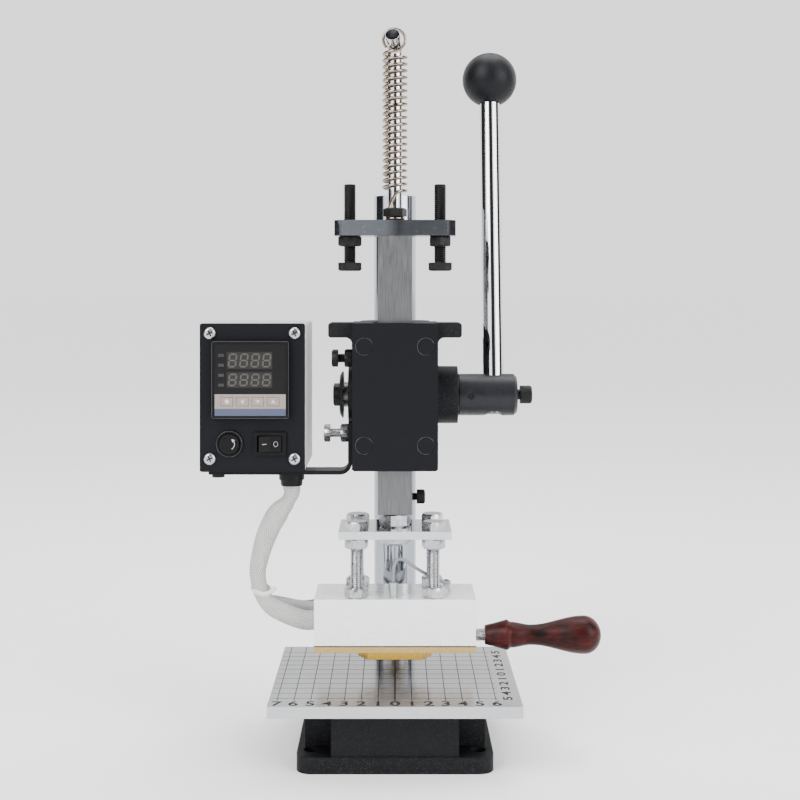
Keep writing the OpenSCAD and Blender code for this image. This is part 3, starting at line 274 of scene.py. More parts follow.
@dataclass(frozen=True)
class Finish:
    """A surface with an even grain: paint, plastic or metal.

    Attributes:
        name: Name of the material.
        slot: The record's material slot; not used.
        colour: Main colour, linear.
        rough: Lowest and highest roughness.
        metal: 1 for bare metal.
        vary: Share by which the colour changes.
        grain: Noise cells in a metre.
        stretch: Factor of the grain on each axis.
        depth_mm: Height of the grain.
        edge_mm: Radius of the softened edges.
        shine: Strength of the surface's mirror light.
    """

    name: str
    slot: str
    colour: Colour
    rough: Pair
    metal: float = 0.0
    vary: float = 0.1
    grain: float = 900.0
    stretch: Point = (1.0, 1.0, 1.0)
    depth_mm: float = 0.01
    edge_mm: float = 0.4
    shine: float = 0.5

    def material(self) -> bpy.types.Material:
        """Makes the material, once.

        Returns:
            The material.
        """
        title = self.name + "_finish"
        found = bpy.data.materials.get(title)
        if found is not None:
            return found
        made = bpy.data.materials.new(title)
        kit = NodeKit(made, "Principled BSDF")
        kit.shader.inputs["Metallic"].default_value = self.metal
        kit.shader.inputs["Specular IOR Level"].default_value = self.shine
        self.paint(kit)
        made.diffuse_color = (*self.colour, 1.0)
        return made

    def shade(self, factor: float) -> Colour:
        """Returns the main colour made darker or lighter."""
        return tuple(min(1.0, c * factor) for c in self.colour)

    def lay(self, kit: NodeKit, value: bpy.types.NodeSocket, stops: Stops,
            height: bpy.types.NodeSocket) -> None:
        """Gives the shader its colour, roughness and relief.

        Args:
            kit: The material's nodes.
            value: The output that the colour follows.
            stops: Its places from 0 to 1 and their colours.
            height: The output that roughness and relief follow.
        """
        kit.link(kit.ramp(value, stops), kit.shader.inputs["Base Color"])
        kit.link(kit.between(height, *self.rough), kit.shader.inputs["Roughness"])
        kit.relief(height, self.depth_mm, self.edge_mm)

    def paint(self, kit: NodeKit) -> None:
        """Lays an even grain over the surface.

        Args:
            kit: The material's nodes.
        """
        noise = kit.grain(self.grain, self.stretch, detail=4.0)
        shades = self.shade(1 - self.vary), self.shade(1 + self.vary)
        self.lay(kit, noise, list(zip(NOISE_SPREAD, shades)), noise)


@dataclass(frozen=True)
class CastPaint(Finish):
    """Paint on rough cast iron, with pale sparks on its grains.

    Attributes:
        spark: Colour of the sparks.
    """

    spark: Colour = (0.2, 0.21, 0.22)

    def paint(self, kit: NodeKit) -> None:
        """Adds sparks over dark grains.

        Args:
            kit: The material's nodes.
        """
        noise = kit.grain(self.grain, self.stretch, detail=3.0)
        stops = [(0.35, self.shade(0.7)), (0.58, self.shade(1.3)), (0.7, self.spark)]
        self.lay(kit, noise, stops, noise)


@dataclass(frozen=True)
class BluedSteel(Finish):
    """A polished bar with reflections painted into its colour: dark ends, a dark middle, a lighter left and a
    darker right.

    Attributes:
        dark: Colour of the painted dark reflections at the ends.
        waver: Share of the length by which the grain shifts the shades.
    """

    dark: Colour = (0.005, 0.0055, 0.007)
    waver: float = 0.06

    def paint(self, kit: NodeKit) -> None:
        """Paints reflections along the bar's length.

        Args:
            kit: The material's nodes.
        """
        noise = kit.grain(self.grain, self.stretch, detail=4.0)
        along = kit.reckon("MULTIPLY_ADD", noise, self.waver, kit.split("Generated").outputs["X"])
        # Painted reflections: dark ends, a lighter left part, a dark patch in the middle and a darker right
        # part.
        stops = [(0.065, self.dark), (0.08, self.colour), (0.45, self.shade(0.9)), (0.56, self.shade(0.2)),
                 (0.62, self.shade(0.36)), (0.97, self.shade(0.4)), (0.985, self.dark)]
        self.lay(kit, along, stops, noise)


@dataclass(frozen=True)
class TurnedWood(Finish):
    """Dark lacquered wood with its grain along the handle.

    Attributes:
        dark: Colour of the dark grain.
        patch: Darker patches in a metre.
        patch_stretch: Factor of the patches on each axis.
        patch_share: Weight of the patches beside the grain.
    """

    dark: Colour = (0.004, 0.001, 0.0008)
    patch: float = 60.0
    patch_stretch: Point = (0.5, 1.0, 1.0)
    patch_share: float = 0.55

    def paint(self, kit: NodeKit) -> None:
        """Adds long grain under the lacquer.

        Args:
            kit: The material's nodes.
        """
        long_grain = kit.grain(self.grain, self.stretch, detail=6.0)
        patches = kit.grain(self.patch, self.patch_stretch, detail=2.0)
        both = kit.reckon("MULTIPLY_ADD", patches, self.patch_share, long_grain)
        stops = [(0.6, self.dark), (0.85, self.colour), (1.0, self.shade(2.2))]
        self.lay(kit, both, stops, long_grain)


@dataclass(frozen=True)
class Braid(Finish):
    """A woven sleeve: two sets of strands that cross, laid on the UVs.

    Attributes:
        edge_mm: No softened edges.
        strands: Strands round the sleeve.
        shadow: Colour between the strands.
        slope: Turns round the sleeve in each unit of V.
        weave: Weight of the strands beside the fibres.
        fibres: Fibres across the UV square.
        fibre_stretch: Factor of the fibres on each axis.
    """

    edge_mm: float = 0.0
    strands: float = 12.0
    shadow: Colour = (0.3, 0.29, 0.27)
    slope: float = 0.35
    weave: float = 0.5
    fibres: float = 26.0
    fibre_stretch: Point = (1.0, 0.12, 1.0)

    def wave(self, kit: NodeKit, slope: float) -> bpy.types.NodeSocket:
        """Adds one set of slanted strands.

        Args:
            kit: The material's nodes.
            slope: Turns round the sleeve in each unit of V.

        Returns:
            The height of the strands.
        """
        parts = kit.split("UV").outputs
        lean = kit.reckon("MULTIPLY_ADD", parts["Y"], slope, parts["X"])
        return kit.reckon("SINE", kit.reckon("MULTIPLY", lean, self.strands * 2 * math.pi))

    def paint(self, kit: NodeKit) -> None:
        """Crosses the two sets of strands.

        Args:
            kit: The material's nodes.
        """
        cross = kit.reckon("MAXIMUM", self.wave(kit, self.slope), self.wave(kit, -self.slope))
        fibres = kit.grain(self.fibres, self.fibre_stretch, detail=3.0, uv=True)
        height = kit.reckon("MULTIPLY_ADD", cross, self.weave, fibres)
        stops = [(0.1, self.shadow), (0.6, self.shade(0.8)), (1.0, self.colour)]
        self.lay(kit, height, stops, height)


CAST = CastPaint("cast_paint", "cast_black", (0.0032, 0.0035, 0.0045), (0.45, 0.65), shine=0.14, grain=1900.0,
                 depth_mm=0.08, edge_mm=1.4, spark=(0.04, 0.042, 0.046))
SATIN_BLACK = Finish("satin_black", "black_painted_steel", (0.0038, 0.0043, 0.006), (0.4, 0.52), vary=0.15,
                     shine=0.12, grain=2400.0, depth_mm=0.008, edge_mm=0.7)
HUB_BLACK = Finish("turned_black", "black_painted_steel", (0.0075, 0.008, 0.0105), (0.3, 0.46), vary=0.25,
                   shine=0.24, grain=1500.0, stretch=(1.0, 0.12, 0.12), depth_mm=0.012, edge_mm=0.6)
# The top bar: reflections painted into its colour along its length.
BAR_PAINTED_REFLECTIONS = BluedSteel("bar_painted_reflections", "black_painted_steel", (0.064, 0.07, 0.081), (0.16, 0.3), shine=0.4,
                   grain=240.0, depth_mm=0.008, edge_mm=0.9)
PLATE = Finish("zinc_plate", "zinc_steel", (0.56, 0.575, 0.59), (0.08, 0.16), metal=1.0, vary=0.1,
               grain=600.0, depth_mm=0.0012, edge_mm=0.3)
OXIDE = Finish("black_oxide", "black_oxide_screws", (0.008, 0.008, 0.008), (0.34, 0.52), metal=0.25, vary=0.3,
               shine=0.2, grain=1500.0, edge_mm=0.06)
CHROME = Finish("chrome", "chrome_steel", (0.5, 0.51, 0.525), (0.06, 0.11), metal=1.0, vary=0.03,
                grain=400.0, stretch=(1.0, 1.0, 0.15), depth_mm=0.002, edge_mm=0.3)
# Chrome made darker and bluer for the column alone: painted darker reflections.
COLUMN_DARKENED_CHROME = Finish("column_chrome_painted_darker", "chrome_steel", (0.3, 0.318, 0.35), (0.07, 0.13), metal=1.0, vary=0.03,
                grain=400.0, stretch=(1.0, 1.0, 0.15), depth_mm=0.002, edge_mm=0.3)
GROUND = Finish("ground_steel", "ground_steel", (0.135, 0.137, 0.14), (0.32, 0.48), metal=0.9, vary=0.25,
                grain=1400.0, stretch=(1.0, 1.0, 0.05), depth_mm=0.006, edge_mm=0.4)
DARK_STEEL = Finish("plain_steel", "screw_steel", (0.13, 0.13, 0.135), (0.3, 0.5), metal=1.0, vary=0.2)
ZINC = Finish("bright_zinc", "zinc_steel", (0.4, 0.405, 0.42), (0.22, 0.34), metal=1.0, vary=0.12,
              grain=600.0, depth_mm=0.0012, edge_mm=0.06)
BRONZE = Finish("bronze", "bronze", (0.4, 0.22, 0.08), (0.2, 0.35), metal=1.0)
TABLE = Finish("brushed_table", "table_aluminium", (0.46, 0.466, 0.482), (0.15, 0.26), metal=0.8, vary=0.07,
               grain=1500.0, stretch=(0.04, 1.0, 1.0), depth_mm=0.002, edge_mm=0.3)
BLOCK = Finish("milled_block", "block_aluminium", (0.86, 0.866, 0.886), (0.2, 0.3), metal=0.42, vary=0.03,
               grain=1200.0, stretch=(0.05, 0.5, 1.0), depth_mm=0.003, edge_mm=0.4)
PALE_BRASS = Finish("heat_paled_brass", "brass", (0.42, 0.3, 0.12), (0.22, 0.36), metal=0.9, vary=0.1,
                    grain=900.0, stretch=(0.3, 1.0, 1.0), depth_mm=0.006, edge_mm=0.25)
BRASS = Finish("milled_brass", "brass", (0.4, 0.245, 0.04), (0.18, 0.32), metal=1.0, vary=0.16,
               grain=900.0, stretch=(0.3, 1.0, 1.0), depth_mm=0.008, edge_mm=0.25)
DARK_JOIN = Finish("dark_join_line", "brass", (0.05, 0.024, 0.009), (0.5, 0.7), grain=500.0, edge_mm=0.0)
# Dark ink for the table's print, and the painted shade of the screws' cross recesses.
PRINT_AND_SHADE_INK = Finish("print_and_recess_shade", "black_plastic", (0.008, 0.008, 0.009), (0.5, 0.65), shine=0.2, grain=3000.0,
             depth_mm=0.0, edge_mm=0.0)
GREY_BOX = Finish("box_grey", "box_grey", (0.46, 0.466, 0.485), (0.4, 0.55), vary=0.04, grain=1800.0,
                  depth_mm=0.012, edge_mm=0.6)
PLASTIC = Finish("fine_plastic", "black_plastic", (0.003, 0.003, 0.0036), (0.38, 0.5), vary=0.1, shine=0.14,
                 grain=3500.0, depth_mm=0.01, edge_mm=0.3)
SMOKED = Finish("smoked_face", "black_plastic", (0.006, 0.006, 0.0066), (0.3, 0.36), shine=0.16, grain=800.0,
                depth_mm=0.0, edge_mm=0.15)
WINDOW = Finish("number_window", "black_plastic", (0.021, 0.0205, 0.02), (0.3, 0.4), vary=0.06, shine=0.15,
                edge_mm=0.0)
FILM = Finish("key_film", "key_beige", (0.225, 0.186, 0.169), (0.4, 0.55), vary=0.06, grain=2500.0,
              edge_mm=0.15)
BLUE = Finish("blue_band", "black_plastic", (0.048, 0.06, 0.108), (0.3, 0.42), vary=0.06, grain=2500.0,
              edge_mm=0.0)
UNLIT = Finish("unlit_segment", "key_beige", (0.046, 0.043, 0.037), (0.35, 0.5), vary=0.08, edge_mm=0.0)
DIM = Finish("unlit_lamp", "black_plastic", (0.016, 0.016, 0.0165), (0.3, 0.4), vary=0.1, edge_mm=0.0)
# A paler grey that paints the highlight on the bezel's edge.
BEZEL_HIGHLIGHT = Finish("bezel_rim", "black_plastic", (0.035, 0.036, 0.039), (0.35, 0.45), vary=0.2, edge_mm=0.0)
WHITE_MARK = Finish("white_mark", "box_grey", (0.42, 0.42, 0.42), (0.4, 0.5), vary=0.03, edge_mm=0.0)
KNOB = Finish("knob_satin", "knob_black", (0.0032, 0.0035, 0.005), (0.4, 0.5), vary=0.1, shine=0.16,
              grain=900.0, depth_mm=0.004, edge_mm=0.2)
SPRING = Finish("spring_zinc", "spring_zinc", (0.27, 0.215, 0.165), (0.08, 0.16), metal=1.0, vary=0.2,
                grain=180.0, depth_mm=0.004, edge_mm=0.0)
WOOD = TurnedWood("lacquered_wood", "lacquered_wood", (0.032, 0.0026, 0.002), (0.34, 0.46), grain=420.0,
                  stretch=(0.25, 1.0, 1.0), depth_mm=0.02, edge_mm=0.3, shine=0.14)
SLEEVE = Braid("white_braid", "white_braid", (0.47, 0.47, 0.46), (0.65, 0.8), depth_mm=0.25, strands=26.0,
               shadow=(0.22, 0.22, 0.21))
STEEL_BRAID = Braid("steel_braid", "steel_braid", (0.3, 0.3, 0.31), (0.35, 0.5), metal=0.6, depth_mm=0.12,
                    strands=6.0, shadow=(0.05, 0.05, 0.05))
TIE = Finish("white_tie", "white_braid", (0.66, 0.66, 0.63), (0.5, 0.6), vary=0.06, edge_mm=0.1)
FLOOR = Finish("pale_floor", "box_grey", (0.95, 0.95, 0.95), (0.7, 0.8), vary=0.01, grain=30.0,
               depth_mm=0.0, edge_mm=0.0)


# Meshes. Sizes are in millimetres.


@dataclass
class Shell:
    """Points and faces of one mesh, in millimetres.

    Attributes:
        points: The corners.
        faces: The corners of each face, counter-clockwise from outside.
        uvs: A UV for each corner, or nothing.
    """

    points: list[Vector] = field(default_factory=list)
    faces: Faces = field(default_factory=list)
    uvs: list[Pair] = field(default_factory=list)

    def merge(self, other: "Shell", place: Matrix | None = None) -> "Shell":
        """Adds another shell.

        Args:
            other: The shell to add.
            place: Where it goes, or None for where it is.

        Returns:
            This shell.
        """
        first = len(self.points)
        self.points += [place @ p if place else p.copy() for p in other.points]
        self.faces += [tuple(first + i for i in f) for f in other.faces]
        if len(self.uvs) == first and len(other.uvs) == len(other.points):
            self.uvs += other.uvs
        return self

    def at(self, place: Matrix) -> "Shell":
        """Gives a copy of this shell, moved to its place."""
        return Shell().merge(self, place)

    def stitch(self, sides: int, loop: bool = False) -> "Shell":
        """Joins the rings that the points make.

        Args:
            sides: Points in each ring.
            loop: True to join the last ring to the first, False to close both ends.

        Returns:
            This shell.
        """
        count = len(self.points)
        for low in range(0, count if loop else count - sides, sides):
            high = (low + sides) % count
            for k in range(sides):
                j = (k + 1) % sides
                self.faces.append((low + k, low + j, high + j, high + k))
        if not loop:
            self.faces.append(tuple(range(sides - 1, -1, -1)))
            self.faces.append(tuple(range(count - sides, count)))
        return self

    def object(self, name: str, finish: Finish, body: Body | None,
               smooth: float = SMOOTH) -> bpy.types.Object:
        """Makes the mesh object, in metres.

        Args:
            name: Name of the piece.
            finish: Its finish.
            body: The body it rides on, or None where it rides on none or is set later.
            smooth: Edges under this angle are shaded smooth, in degrees.

        Returns:
            The new object.
        """
        mesh = bpy.data.meshes.new(name)
        mesh.from_pydata([p * MM for p in self.points], [], self.faces)
        if self.uvs and len(self.uvs) == len(self.points):
            layer = mesh.uv_layers.new(name="UVMap")
            for loop in mesh.loops:
                layer.data[loop.index].uv = self.uvs[loop.vertex_index]
        mesh.shade_smooth()
        mesh.set_sharp_from_angle(angle=math.radians(smooth))
        mesh.materials.append(finish.material())
        made = bpy.data.objects.new(name, mesh)
        bpy.context.scene.collection.objects.link(made)
        if body is not None:
            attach(made, body.value)
        LOG.info("piece %s: %d faces", name, len(self.faces))
        return made


def turned(degrees: float, axis: str) -> Matrix:
    """Gives a turn about one axis."""
    return Matrix.Rotation(math.radians(degrees), 4, axis)


def moved(x: float, y: float, z: float) -> Matrix:
    """Gives a shift along the three axes."""
    return Matrix.Translation((x, y, z))


def placed(x: float, y: float, z: float, axis: Axis = Axis.UP, spin: float = 0.0) -> Matrix:
    """Gives the place of a piece.

    Args:
        x: Place across.
        y: Place in depth.
        z: Place in height.
        axis: Where its local +Z points.
        spin: Turn about its own axis, in degrees.

    Returns:
        The matrix, in millimetres.
    """
    return moved(x, y, z) @ axis.turn() @ turned(spin, "Z")


def polar(radius: float, angle: float, height: float) -> Vector:
    """Gives a point round Z, with its angle in radians."""
    return Vector((radius * math.cos(angle), radius * math.sin(angle), height))


def arc(radii: Pair, degrees: range, height: float = 0.0) -> list[Vector]:
    """Runs along a flat arc round Z.

    Args:
        radii: Radius along X and along Y.
        degrees: Angle of each point.
        height: Height of the arc.

    Returns:
        The points of the arc.
    """
    angles = [math.radians(d) for d in degrees]
    return [Vector((radii[0] * math.cos(a), radii[1] * math.sin(a), height)) for a in angles]


def lathe(outline: Outline, sides: int = 48) -> Shell:
    """Turns an outline of radius and height about Z.

    Args:
        outline: Radius and height of each ring, from the bottom up the outside.
        sides: Points round.

    Returns:
        The closed shell.
    """
    made = Shell()
    for radius, height in outline:
        made.points += [polar(radius, math.tau * k / sides, height) for k in range(sides)]
    return made.stitch(sides)


def block(low: Point, high: Point, edge: float = 0.0) -> Shell:
    """Makes a box whose upright edges and rims are bevelled.

    Args:
        low: Lowest corner.
        high: Highest corner.
        edge: Width of the bevel.

    Returns:
        The closed shell.
    """
    made = Shell()
    rings = [(edge, low[2]), (0.0, low[2] + edge), (0.0, high[2] - edge), (edge, high[2])]
    cut = max(edge, LEAST_EDGE)
    corners: Outline = ()
    for inset, height in rings if edge > 0 else rings[1:3]:
        x0, y0, x1, y1 = low[0] + inset, low[1] + inset, high[0] - inset, high[1] - inset
        corners = ((x0 + cut, y0), (x1 - cut, y0), (x1, y0 + cut), (x1, y1 - cut),
                   (x1 - cut, y1), (x0 + cut, y1), (x0, y1 - cut), (x0, y0 + cut))
        made.points += [Vector((x, y, height)) for x, y in corners]
    return made.stitch(len(corners))


def plate(outline: Outline, thick: float) -> Shell:
    """Makes a flat shape on Z = 0, up by its thickness.

    Args:
        outline: Points of the outline, counter-clockwise.
        thick: Thickness.

    Returns:
        The closed shell.
    """
    made = Shell([Vector((x, y, z)) for z in (0.0, thick) for x, y in outline])
    return made.stitch(len(outline))


def hex_reach(flats: float, angle: float) -> float:
    """Gives how far the side of a hexagon is from its middle.

    Args:
        flats: Width across flats.
        angle: Direction, in radians.

    Returns:
        The distance.
    """
    half_side = math.pi / 6
    away = (angle + half_side) % (math.pi / 3) - half_side
    return flats / 2 / math.cos(half_side - abs(away))


def hex_head(flats: float, height: float, bore: float = 0.0, both: bool = False) -> Shell:
    """Makes a bolt head or nut with chamfered corners.

    Args:
        flats: Width across flats.
        height: Height.
        bore: Diameter of the hole, or 0 for a head.
        both: True where both ends are chamfered.

    Returns:
        The shell, up from Z = 0.
    """
    corner = flats / math.sqrt(3)
    chamfer = (corner - flats / 2 * HEX_CHAMFER[0]) * HEX_CHAMFER[1]
    round_r = flats / 2 * HEX_RIM
    rings = [(0.0, round_r), (chamfer, corner)] if both else [(0.0, corner)]
    rings += [(height - chamfer, corner), (height, round_r)]
    if bore > 0:
        wide, deep = bore / 2 + NUT_SINK[0], NUT_SINK[1]
        rings += [(height, wide), (height - deep, bore / 2), (deep, bore / 2), (0.0, wide)]
    made = Shell()
    for z, limit in rings:
        for angle in (math.tau * k / HEX_SIDES for k in range(HEX_SIDES)):
            made.points.append(polar(min(limit, hex_reach(flats, angle)), angle, z))
    return made.stitch(HEX_SIDES, loop=bore > 0)


def thread(diameter: float, length: float, pitch: float, sides: int) -> Shell:
    """Makes a threaded rod with a real helix and chamfered ends.

    Args:
        diameter: Outside diameter.
        length: Length, up from Z = 0.
        pitch: Rise of a turn.
        sides: Points round.

    Returns:
        The closed shell.
    """
    depth = THREAD_DEPTH * pitch
    rows = max(THREAD_LEAST, int(length / pitch * THREAD_ROWS))
    made = Shell()
    for z in (length * i / rows for i in range(rows + 1)):
        chamfer = diameter / 2 - depth + min(z, length - z)
        for k in range(sides):
            phase = (z / pitch - k / sides) % 1.0
            crest = diameter / 2 - depth * abs(2 * phase - 1)
            made.points.append(polar(min(crest, chamfer), math.tau * k / sides, z))
    return made.stitch(sides)


def cap_screw(head: float, height: float, socket: float) -> Shell:
    """Makes a knurled cap head with a hexagon socket.

    Args:
        head: Diameter of the head.
        height: Height of the head.
        socket: Width across flats of the socket.

    Returns:
        The shell, up from Z = 0.
    """
    count = range(CAP_SIDES)
    knurl = [head / 2 - (CAP_KNURL if k % 2 else 0.0) for k in count]
    hexagon = [hex_reach(socket, math.tau * k / CAP_SIDES) for k in count]
    shoulder, rim = ([head / 2 - inset] * CAP_SIDES for inset in CAP_INSETS)
    rings = ((0.0, knurl), (height - CAP_DROPS[0], knurl), (height - CAP_DROPS[1], shoulder), (height, rim),
             (height, hexagon), (height - height * CAP_SOCKET, hexagon))
    made = Shell()
    for z, radii in rings:
        made.points += [polar(radii[k], math.tau * k / CAP_SIDES, z) for k in count]
    return made.stitch(CAP_SIDES)


def pan_head(diameter: float, height: float) -> Shell:
    """Makes a domed screw head.

    Args:
        diameter: Diameter of the head.
        height: Height of the head.

    Returns:
        The shell, up from Z = 0.
    """
    return lathe([(diameter / 2 * wide, height * high) for wide, high in PAN_DOME], sides=40)


def cross_mark(diameter: float) -> Shell:
    """Makes a flat dark cross on Z = 0, painted shade that stands for a screw's driver recess.

    Args:
        diameter: Width of the cross.

    Returns:
        The thin shell.
    """
    far, near = diameter / 2, diameter / 9
    outline = ((far, -near), (far, near), (near, near), (near, far), (-near, far), (-near, near),
               (-far, near), (-far, -near), (-near, -near), (-near, -far), (near, -far), (near, -near))
    return plate(outline, SIGN_T)


def smooth_route(points: tuple[Point, ...], steps: int) -> list[Vector]:
    """Runs a smooth curve through the points of a route.

    Args:
        points: The route.
        steps: Curve points for each stretch.

    Returns:
        The points of the curve.
    """
    knots = [Vector(p) for p in points]
    knots = [2 * knots[0] - knots[1], *knots, 2 * knots[-1] - knots[-2]]
    out: list[Vector] = []
    for a, b, c, d in zip(knots, knots[1:], knots[2:], knots[3:]):
        for i in range(steps):
            t = i / steps
            out.append(0.5 * (2 * b + (c - a) * t + (2 * a - 5 * b + 4 * c - d) * t * t
                              + (3 * b - a - 3 * c + d) * t ** 3))
    return [*out, knots[-2]]


def tube(path: list[Vector], radius: float, sides: int, flat: Pair = (1.0, 1.0),
         swell: tuple[float, ...] = (1.0, 1.0)) -> Shell:
    """Sweeps a tube along a path, with UVs for a braid.

    Args:
        path: Centre of each ring.
        radius: Radius of the tube.
        sides: Points round.
        flat: Factors on the width and the thickness of the section.
        swell: Factors on the width, evenly spread along the path.

    Returns:
        The closed shell.
    """
    made = Shell()
    side = Vector((0.0, 0.0, 1.0))
    run = 0.0
    last = len(path) - 1
    for i, point in enumerate(path):
        ahead = (path[min(i + 1, last)] - path[max(i - 1, 0)]).normalized()
        if abs(side.dot(ahead)) > ALONG:
            side = Vector((1.0, 0.0, 0.0))
        side = (side - ahead * side.dot(ahead)).normalized()
        other = ahead.cross(side)
        run += (point - path[i - 1]).length if i else 0.0
        spot = i / last * (len(swell) - 1)
        low = min(int(spot), len(swell) - 2)
        wide = flat[0] * (swell[low] + (swell[low + 1] - swell[low]) * (spot - low))
        for k in range(sides + 1):
            angle = math.tau * k / sides
            out = wide * math.cos(angle) * side + flat[1] * math.sin(angle) * other
            made.points.append(point + radius * out)
            made.uvs.append((k / sides, run / (math.tau * radius)))
    ring = sides + 1
    for low in range(0, last * ring, ring):
        for k in range(low, low + sides):
            made.faces.append((k, k + 1, k + ring + 1, k + ring))
    made.faces.append(tuple(range(sides - 1, -1, -1)))
    made.faces.append(tuple(range(last * ring, last * ring + sides)))
    return made


def figure(text: str, height: float, bold: float) -> Shell:
    """Makes the flat outline of plain figures, centred on the origin in X and Y.

    Args:
        text: The figures.
        height: Height of a figure.
        bold: How far the strokes grow, as a share of the height.

    Returns:
        The flat shell.
    """
    curve = bpy.data.curves.new("figure", "FONT")
    curve.body = text
    curve.size = height / FIGURE_SHARE
    curve.offset = bold * height
    curve.align_x = "CENTER"
    curve.align_y = "CENTER"
    curve.resolution_u = 4
    holder = bpy.data.objects.new("figure", curve)
    bpy.context.scene.collection.objects.link(holder)
    bpy.context.view_layer.update()
    mesh = holder.to_mesh()
    made = Shell([v.co.copy() for v in mesh.vertices], [tuple(p.vertices) for p in mesh.polygons])
    holder.to_mesh_clear()
    bpy.data.objects.remove(holder)
    bpy.data.curves.remove(curve)
    return made


@dataclass(frozen=True)
class ScrewSize:
    """Standard sizes of a screw, and of its hexagon head and nut where they are used.

    Attributes:
        thick: Diameter of the thread.
        pitch: Rise of a turn.
        flats: Width across flats.
        head_h: Height of the head.
        nut_h: Height of the nut.
        bore: Hole of the nut.
    """

    thick: float
    pitch: float
    flats: float = 0.0
    head_h: float = 0.0
    nut_h: float = 0.0
    bore: float = 0.0

    def head(self) -> Shell:
        """Makes the head, up from Z = 0."""
        return hex_head(self.flats, self.head_h)

    def nut(self) -> Shell:
        """Makes the nut, up from Z = 0."""
        return hex_head(self.flats, self.nut_h, self.bore, both=True)

    def rod(self, length: float, sides: int = 24) -> Shell:
        """Makes a length of thread, up from Z = 0."""
        return thread(self.thick, length, self.pitch, sides)


M4 = ScrewSize(4.0, 0.7)
M5 = ScrewSize(5.0, 0.8)
M6 = ScrewSize(6.0, 1.0, flats=10.0, head_h=4.0, nut_h=5.0, bore=6.0)
M8 = ScrewSize(8.0, 1.25, flats=13.0, head_h=5.3, nut_h=6.5, bore=8.1)
M12 = ScrewSize(12.0, 1.75, flats=18.0, bore=12.1)


def dress(finish: Finish, *nodes: str) -> None:
    """Gives nodes of the frame a finish.

    Args:
        finish: The finish.
        nodes: Names of the nodes.
    """
    for name in nodes:
        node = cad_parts[name]
        node.data.materials.clear()
        node.data.materials.append(finish.material())
        LOG.info("node %s: %s", name, finish.name)


# Sub-assemblies


@dataclass
class Studio:
    """Floor, light and camera."""

    camera_at: Point = (0.0, -856.0, 289.6)
    focal_px: float = 1327.0
    centre_px: Pair = (395.0, 288.0)
    image_px: float = 800.0
    sensor_mm: float = 36.0
    clip_m: float = 50.0
    floor_half: float = 40000.0
    room_light: float = 3.6
    backdrop: float = 0.47
    lamp_side: float = 0.9
    lamp_target: Point = (0.0, 0.0, 0.2)
    lamps: tuple[tuple[str, Point, float], ...] = (
        ("key_lamp", (-0.9, -1.1, 1.3), 22.0), ("fill_lamp", (1.2, -0.9, 0.7), 14.0),
        ("top_lamp", (0.1, 0.3, 1.6), 16.0))
    gaps: tuple[Pair, ...] = (
        (-180.0, 0.015), (-162.0, 0.015), (-152.0, 1.0), (-112.0, 1.0), (-106.0, 0.015), (-70.0, 0.015),
        (-64.0, 1.0), (-20.0, 1.0), (-13.0, 0.015), (13.0, 0.015), (22.0, 0.75), (60.0, 0.75), (76.0, 0.35),
        (106.0, 0.35), (122.0, 0.75), (140.0, 0.75), (148.0, 0.015))

    def camera(self) -> None:
        """Sets the camera level, in front of the press, at the photograph's height."""
        data = bpy.data.cameras.new("front_camera")
        data.sensor_width = self.sensor_mm
        data.lens = self.focal_px / self.image_px * data.sensor_width
        data.shift_x = (self.image_px / 2 - self.centre_px[0]) / self.image_px
        data.shift_y = (self.centre_px[1] - self.image_px / 2) / self.image_px
        data.clip_end = self.clip_m
        held = bpy.data.objects.new("front_camera", data)
        held.location = Vector(self.camera_at) * MM
        held.rotation_euler = (math.pi / 2, 0.0, 0.0)
        bpy.context.scene.collection.objects.link(held)
        bpy.context.scene.camera = held

    def lamp(self, name: str, at: Point, watts: float) -> None:
        """Adds one soft square lamp that points at the press.

        Args:
            name: Name of the lamp.
            at: Where it hangs, in metres.
            watts: Power.
        """
        data = bpy.data.lights.new(name, "AREA")
        data.size = self.lamp_side
        data.energy = watts
        held = bpy.data.objects.new(name, data)
        held.location = at
        held.rotation_euler = (Vector(self.lamp_target) - Vector(at)).to_track_quat("-Z", "Y").to_euler()
        bpy.context.scene.collection.objects.link(held)

    def room(self) -> None:
        """Adds a pale room with darker gaps that metal mirrors, and a plain backdrop."""
        world = bpy.data.worlds.new("pale_room")
        kit = NodeKit(world, "Background")
        kit.shader.inputs["Strength"].default_value = self.room_light
        parts = kit.split("Generated").outputs
        share = kit.add("MapRange", From_Min=-math.pi, From_Max=math.pi)
        kit.link(kit.reckon("ARCTAN2", parts["Y"], parts["X"]), share.inputs["Value"])
        bands = [((azimuth + 180.0) / 360.0, (grey, grey, grey)) for azimuth, grey in self.gaps]
        pick = kit.add("Mix", data_type="RGBA", B=(*[self.backdrop] * 3, 1.0))
        kit.link(kit.ramp(share.outputs["Result"], bands), pick.inputs["A"])
        kit.link(kit.add("LightPath").outputs["Is Camera Ray"], pick.inputs["Factor"])
        kit.link(pick.outputs["Result"], kit.shader.inputs["Color"])
        bpy.context.scene.world = world

    def light(self) -> None:
        """Adds the room and its soft lamps."""
        self.room()
        for name, at, watts in self.lamps:
            self.lamp(name, at, watts)

    def floor(self) -> None:
        """Lays a pale floor under the press."""
        half = self.floor_half
        corners = ((-half, -half), (half, -half), (half, half), (-half, half))
        shell = Shell([Vector((x, y, 0.0)) for x, y in corners], [(0, 1, 2, 3)])
        made = shell.object("pale_floor", FLOOR, None)


